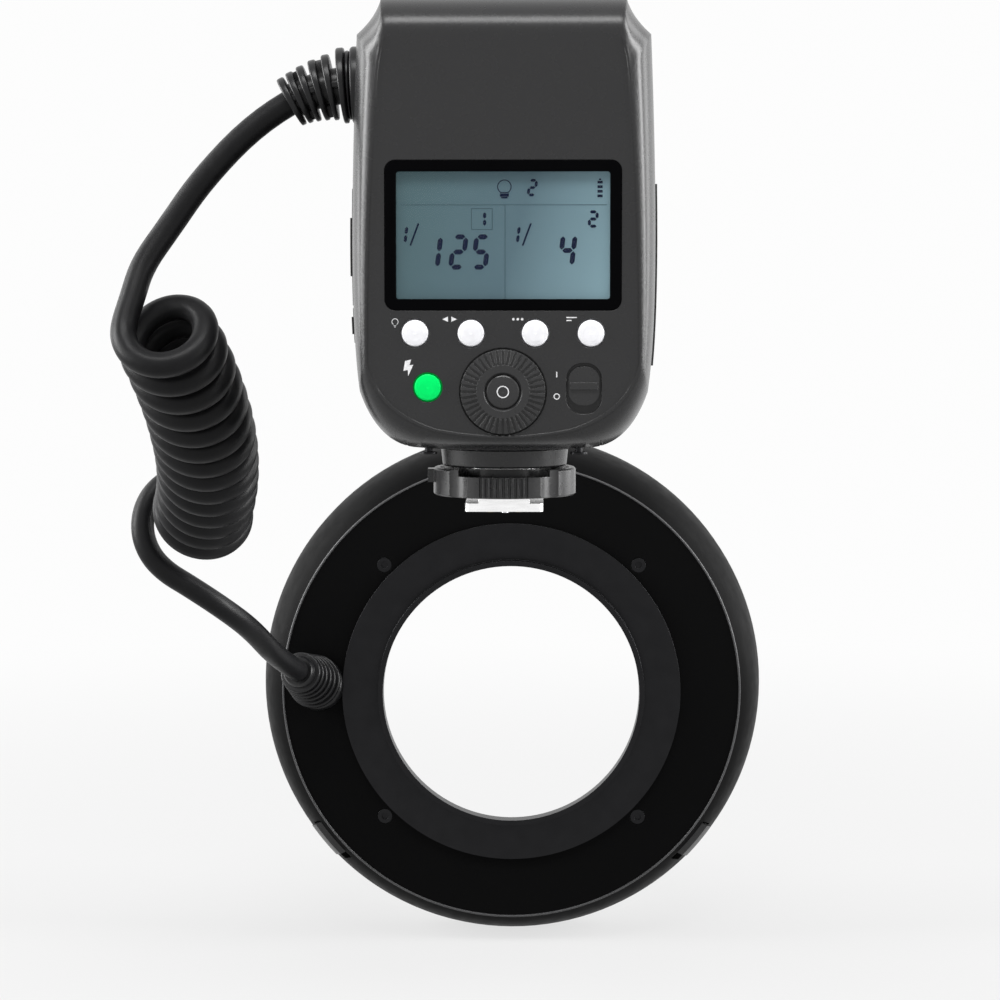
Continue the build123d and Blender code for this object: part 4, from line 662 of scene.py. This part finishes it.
def ring(x, z, radius, width, start=0, end=360, steps=24):
    """Outlines that make a ring, or a part of one between two angles in degrees."""
    turns = [math.radians(start + (end - start) * i / steps) for i in range(steps + 1)]
    inner, outer = radius - width / 2, radius + width / 2
    shapes = []
    for a, b in zip(turns, turns[1:]):
        corners = [on_circle(inner, a), on_circle(outer, a), on_circle(outer, b),
                   on_circle(inner, b)]
        shapes.append([(x + along, z + up) for along, up in corners])
    return shapes


SEGMENTS = {"1": "bc", "2": "abged", "4": "fgbc", "5": "afgcd"}
SEGMENT_GAP = 0.14     # left open at a segment's ends, as a share of the stroke


def digit(value, x, z, width, height, stroke, slant=0.12):
    """Segments of a digit whose lower left corner is at (x, z)."""
    left = low = stroke / 2
    right, middle, high = width - left, height / 2, height - low
    ends = {"a": ((left, high), (right, high)), "b": ((right, high), (right, middle)),
            "c": ((right, middle), (right, low)), "d": ((left, low), (right, low)),
            "e": ((left, middle), (left, low)), "f": ((left, high), (left, middle)),
            "g": ((left, middle), (right, middle))}
    shapes = []
    for name in SEGMENTS[value]:
        start, end = map(Vector, ends[name])
        along = (end - start).normalized()
        start = start + along * (stroke * SEGMENT_GAP)
        end = end - along * (stroke * SEGMENT_GAP)
        side = Vector((-along.y, along.x)) * (stroke / 2)
        tip = along * (stroke / 2)
        points = [start, start + tip + side, end - tip + side, end, end - tip - side,
                  start + tip - side]
        shapes.append([(x + p.x + slant * p.y, z + p.y) for p in points])
    return shapes


def make_display():
    """What the display shows: plain numbers, a lamp sign, a battery sign and rules."""
    numbers = []
    numbers += digit("1", -16.3, 57.4, 1.6, 8.1, 1.15)
    numbers += digit("2", -12.75, 57.4, 3.9, 8.1, 1.15)
    numbers += digit("5", -7.55, 57.4, 3.9, 8.1, 1.15)
    numbers += digit("4", 12.4, 57.8, 3.9, 8.0, 1.15)
    for x in (-23.6, 2.3):
        numbers += digit("1", x, 63.2, 1.3, 4.5, 0.72)
        numbers.append(bar(x + 2.2, 62.9, x + 4.1, 68.0, 0.42))
    numbers += digit("2", 5.4, 74.2, 2.2, 4.0, 0.66)
    numbers += digit("1", -6.4, 67.0, 2.5, 4.0, 0.72, slant=0)
    numbers += digit("2", 19.5, 67.0, 2.5, 4.0, 0.72, slant=0)
    lamp = ring(0.3, 76.4, 1.55, 0.22, -55, 235)
    lamp += [bar(-0.65, 75.1, 1.25, 75.1, 0.22), bar(-0.75, 74.5, 1.35, 74.5, 0.75),
             bar(-0.45, 73.9, 1.05, 73.9, 0.35)]
    levels = [74.3 + i * 1.05 for i in range(4)]
    battery = [bar(21.7, z, 22.9, z, 0.62) for z in levels]
    battery.append(bar(22.05, 78.1, 22.55, 78.1, 0.35))
    dark = ink("display_ink", (0.003, 0.007, 0.028), (0.0025, 0.006, 0.025),
               (0.0035, 0.008, 0.031))
    plates("display_marks", numbers + lamp + battery, GLASS - 0.01, 0.03, dark)

    rules = [bar(-23.6, 72.25, 23.9, 72.25, 0.16), bar(0.45, 50.6, 0.45, 72.2, 0.16)]
    box = [(-7.3, 66.6), (-2.5, 66.6), (-2.5, 71.4), (-7.3, 71.4)]
    rules += [bar(*box[i - 1], *box[i], 0.18) for i in range(4)]
    faint = ink("display_rule", (0.05, 0.09, 0.11), (0.045, 0.08, 0.1), (0.055, 0.1, 0.12))
    plates("display_rules", rules, GLASS - 0.01, 0.02, faint)


def make_signs():
    """Small plain signs printed on the rear panel."""
    lamp = ring(-24.9, 45.4, 0.72, 0.13, -60, 240, 14)
    lamp += [bar(-25.2, 44.5, -24.6, 44.5, 0.13), bar(-25.1, 44.2, -24.7, 44.2, 0.13)]
    arrows = [[(-14.0, 46.0), (-12.7, 46.6), (-12.7, 45.4)],
              [(-10.6, 46.0), (-11.9, 45.4), (-11.9, 46.6)]]
    dots = [disc(x, 46.0, 0.3) for x in (2.4, 3.4, 4.4)]
    lines = [bar(14.6, 45.7, 15.8, 45.7, 0.25), bar(14.6, 46.4, 17.0, 46.4, 0.25)]
    bolt = [(-22.6, 36.4), (-21.2, 36.7), (-21.6, 35.4), (-20.7, 35.5), (-21.9, 32.9),
            (-22.0, 34.3), (-23.0, 34.1)]
    switch = [bar(12.4, 32.6, 12.4, 33.9, 0.25), *ring(12.4, 28.2, 0.62, 0.22)]
    white = ink("print_white", (0.75, 0.75, 0.76), (0.66, 0.66, 0.67), (0.8, 0.8, 0.81),
                scale=2500, gloss=0.5)
    plates("panel_signs", [*lamp, *arrows, *dots, *lines, bolt, *switch], PANEL, 0.02, white)
    plates("set_sign", ring(0, 29.3, 1.3, 0.24) + [disc(0, 29.3, 0.42)], SET_FACE, 0.03, white,
           body="set_button")


# Light and stage, in metres

BACKDROP = 0.98               # the background's white, where rays see it
WORLD_LIGHT = 0.2             # how strongly it lights
WHITE = (1, 1, 1, 1)
FLOOR_TONE = 0.35
FLOOR_SPREAD = 0.005
FLOOR_PLACE = (0, 0.1, -0.1378)
FLOOR_RADIUS = 7.0
# Distances from the floor's middle, and the share of the background's white seen at them
FLOOR_REACH = (0.1, 0.75)
FLOOR_SHARES = (0.72, 1)
LAMP_AIM = (0, 0, 0.1)
# Place, width, height, and brightness as seen in a mirror; side lamps mirrored in x
TOP_LAMP = (0, -0.55, 1.0), 0.9, 0.36, 9.3
SIDE_LAMPS = {
    "near": ((0.9, -0.56, 0.36), 0.3, 0.8, 1.8),
    "beside": ((1.1, -0.03, 0.36), 0.5, 0.85, 13.5),
    "behind": ((0.9, 0.65, 0.36), 0.45, 0.9, 2.5),
}


def area_light(name, place, width, height, radiance):
    """Rectangular soft lamp that the camera doesn't see."""
    data = bpy.data.lights.new(name, "AREA")
    data.shape = "RECTANGLE"
    data.size = width
    data.size_y = height
    data.energy = 4 * width * height * radiance
    add_facing(name, data, place, LAMP_AIM).visible_camera = False


def make_lights():
    """A soft lamp above and rows of soft lamps round both sides."""
    area_light("lamp_top", *TOP_LAMP)
    for side, sign in (("left", -1), ("right", 1)):
        for name, ((x, y, z), *rest) in SIDE_LAMPS.items():
            area_light(name + "_" + side, (sign * x, y, z), *rest)


def seen_rays(tree):
    """One for rays that see the pale background: from the camera, mirrored or let through."""
    rays = add_node(tree, "LightPath", {}).outputs
    seen = calculate(tree, "MAXIMUM", rays["Is Camera Ray"], rays["Is Glossy Ray"])
    return calculate(tree, "MAXIMUM", seen, rays["Is Transmission Ray"])


def mix_shaders(tree, share, first, second):
    """First shader blended into the second by a share."""
    return add_node(tree, "MixShader", {0: share, 1: first, 2: second}).outputs["Shader"]


def make_world():
    """Surroundings: white where they are seen, and dimmer as a light."""
    world = bpy.data.worlds.new("world")
    bpy.context.scene.world = world
    world.use_nodes = True
    tree = world.node_tree
    light = tree.nodes["Background"]
    light.inputs["Color"].default_value = WHITE
    light.inputs["Strength"].default_value = WORLD_LIGHT
    white = add_node(tree, "Background", {"Color": WHITE, "Strength": BACKDROP})
    mix = mix_shaders(tree, seen_rays(tree), light.outputs["Background"],
                      white.outputs["Background"])
    tree.links.new(mix, tree.nodes["World Output"].inputs["Surface"])


def floor_paint():
    """Pale floor that turns into the background's white away from the object."""
    paint = Paint("floor_paint", (FLOOR_TONE,) * 3, 0.8, Specular_IOR_Level=0.1)
    tree = paint.tree
    paint.vary_color(paint.noise(3, 3), (FLOOR_TONE - FLOOR_SPREAD,) * 3,
                     (FLOOR_TONE + FLOOR_SPREAD,) * 3)
    away = add_node(tree, "VectorMath", {0: paint.coordinates}, operation="LENGTH")
    share = rescale(tree, away.outputs["Value"], FLOOR_REACH, FLOOR_SHARES,
                    interpolation_type="SMOOTHSTEP")
    white = add_node(tree, "Emission", {"Color": WHITE, "Strength": BACKDROP})
    pale = mix_shaders(tree, calculate(tree, "MULTIPLY", share, seen_rays(tree)),
                       paint.shader.outputs["BSDF"], white.outputs["Emission"])
    # From below, the floor lets the object show
    below = add_node(tree, "NewGeometry", {}).outputs["Backfacing"]
    clear = add_node(tree, "BsdfTransparent", {}).outputs["BSDF"]
    both = mix_shaders(tree, below, pale, clear)
    tree.links.new(both, tree.nodes["Material Output"].inputs["Surface"])
    return paint.material


def make_floor():
    """Plain pale floor under the ring head."""
    shape = bmesh.new()
    bmesh.ops.create_circle(shape, cap_ends=True, segments=96, radius=FLOOR_RADIUS)
    floor = add_mesh("floor", shape, floor_paint())
    floor.location = FLOOR_PLACE


make_camera()
make_cord()
dress_nodes()
make_reliefs()
make_bead()
make_display()
make_signs()
make_world()
make_floor()
make_lights()
bpy.context.scene.view_settings.view_transform = "Standard"
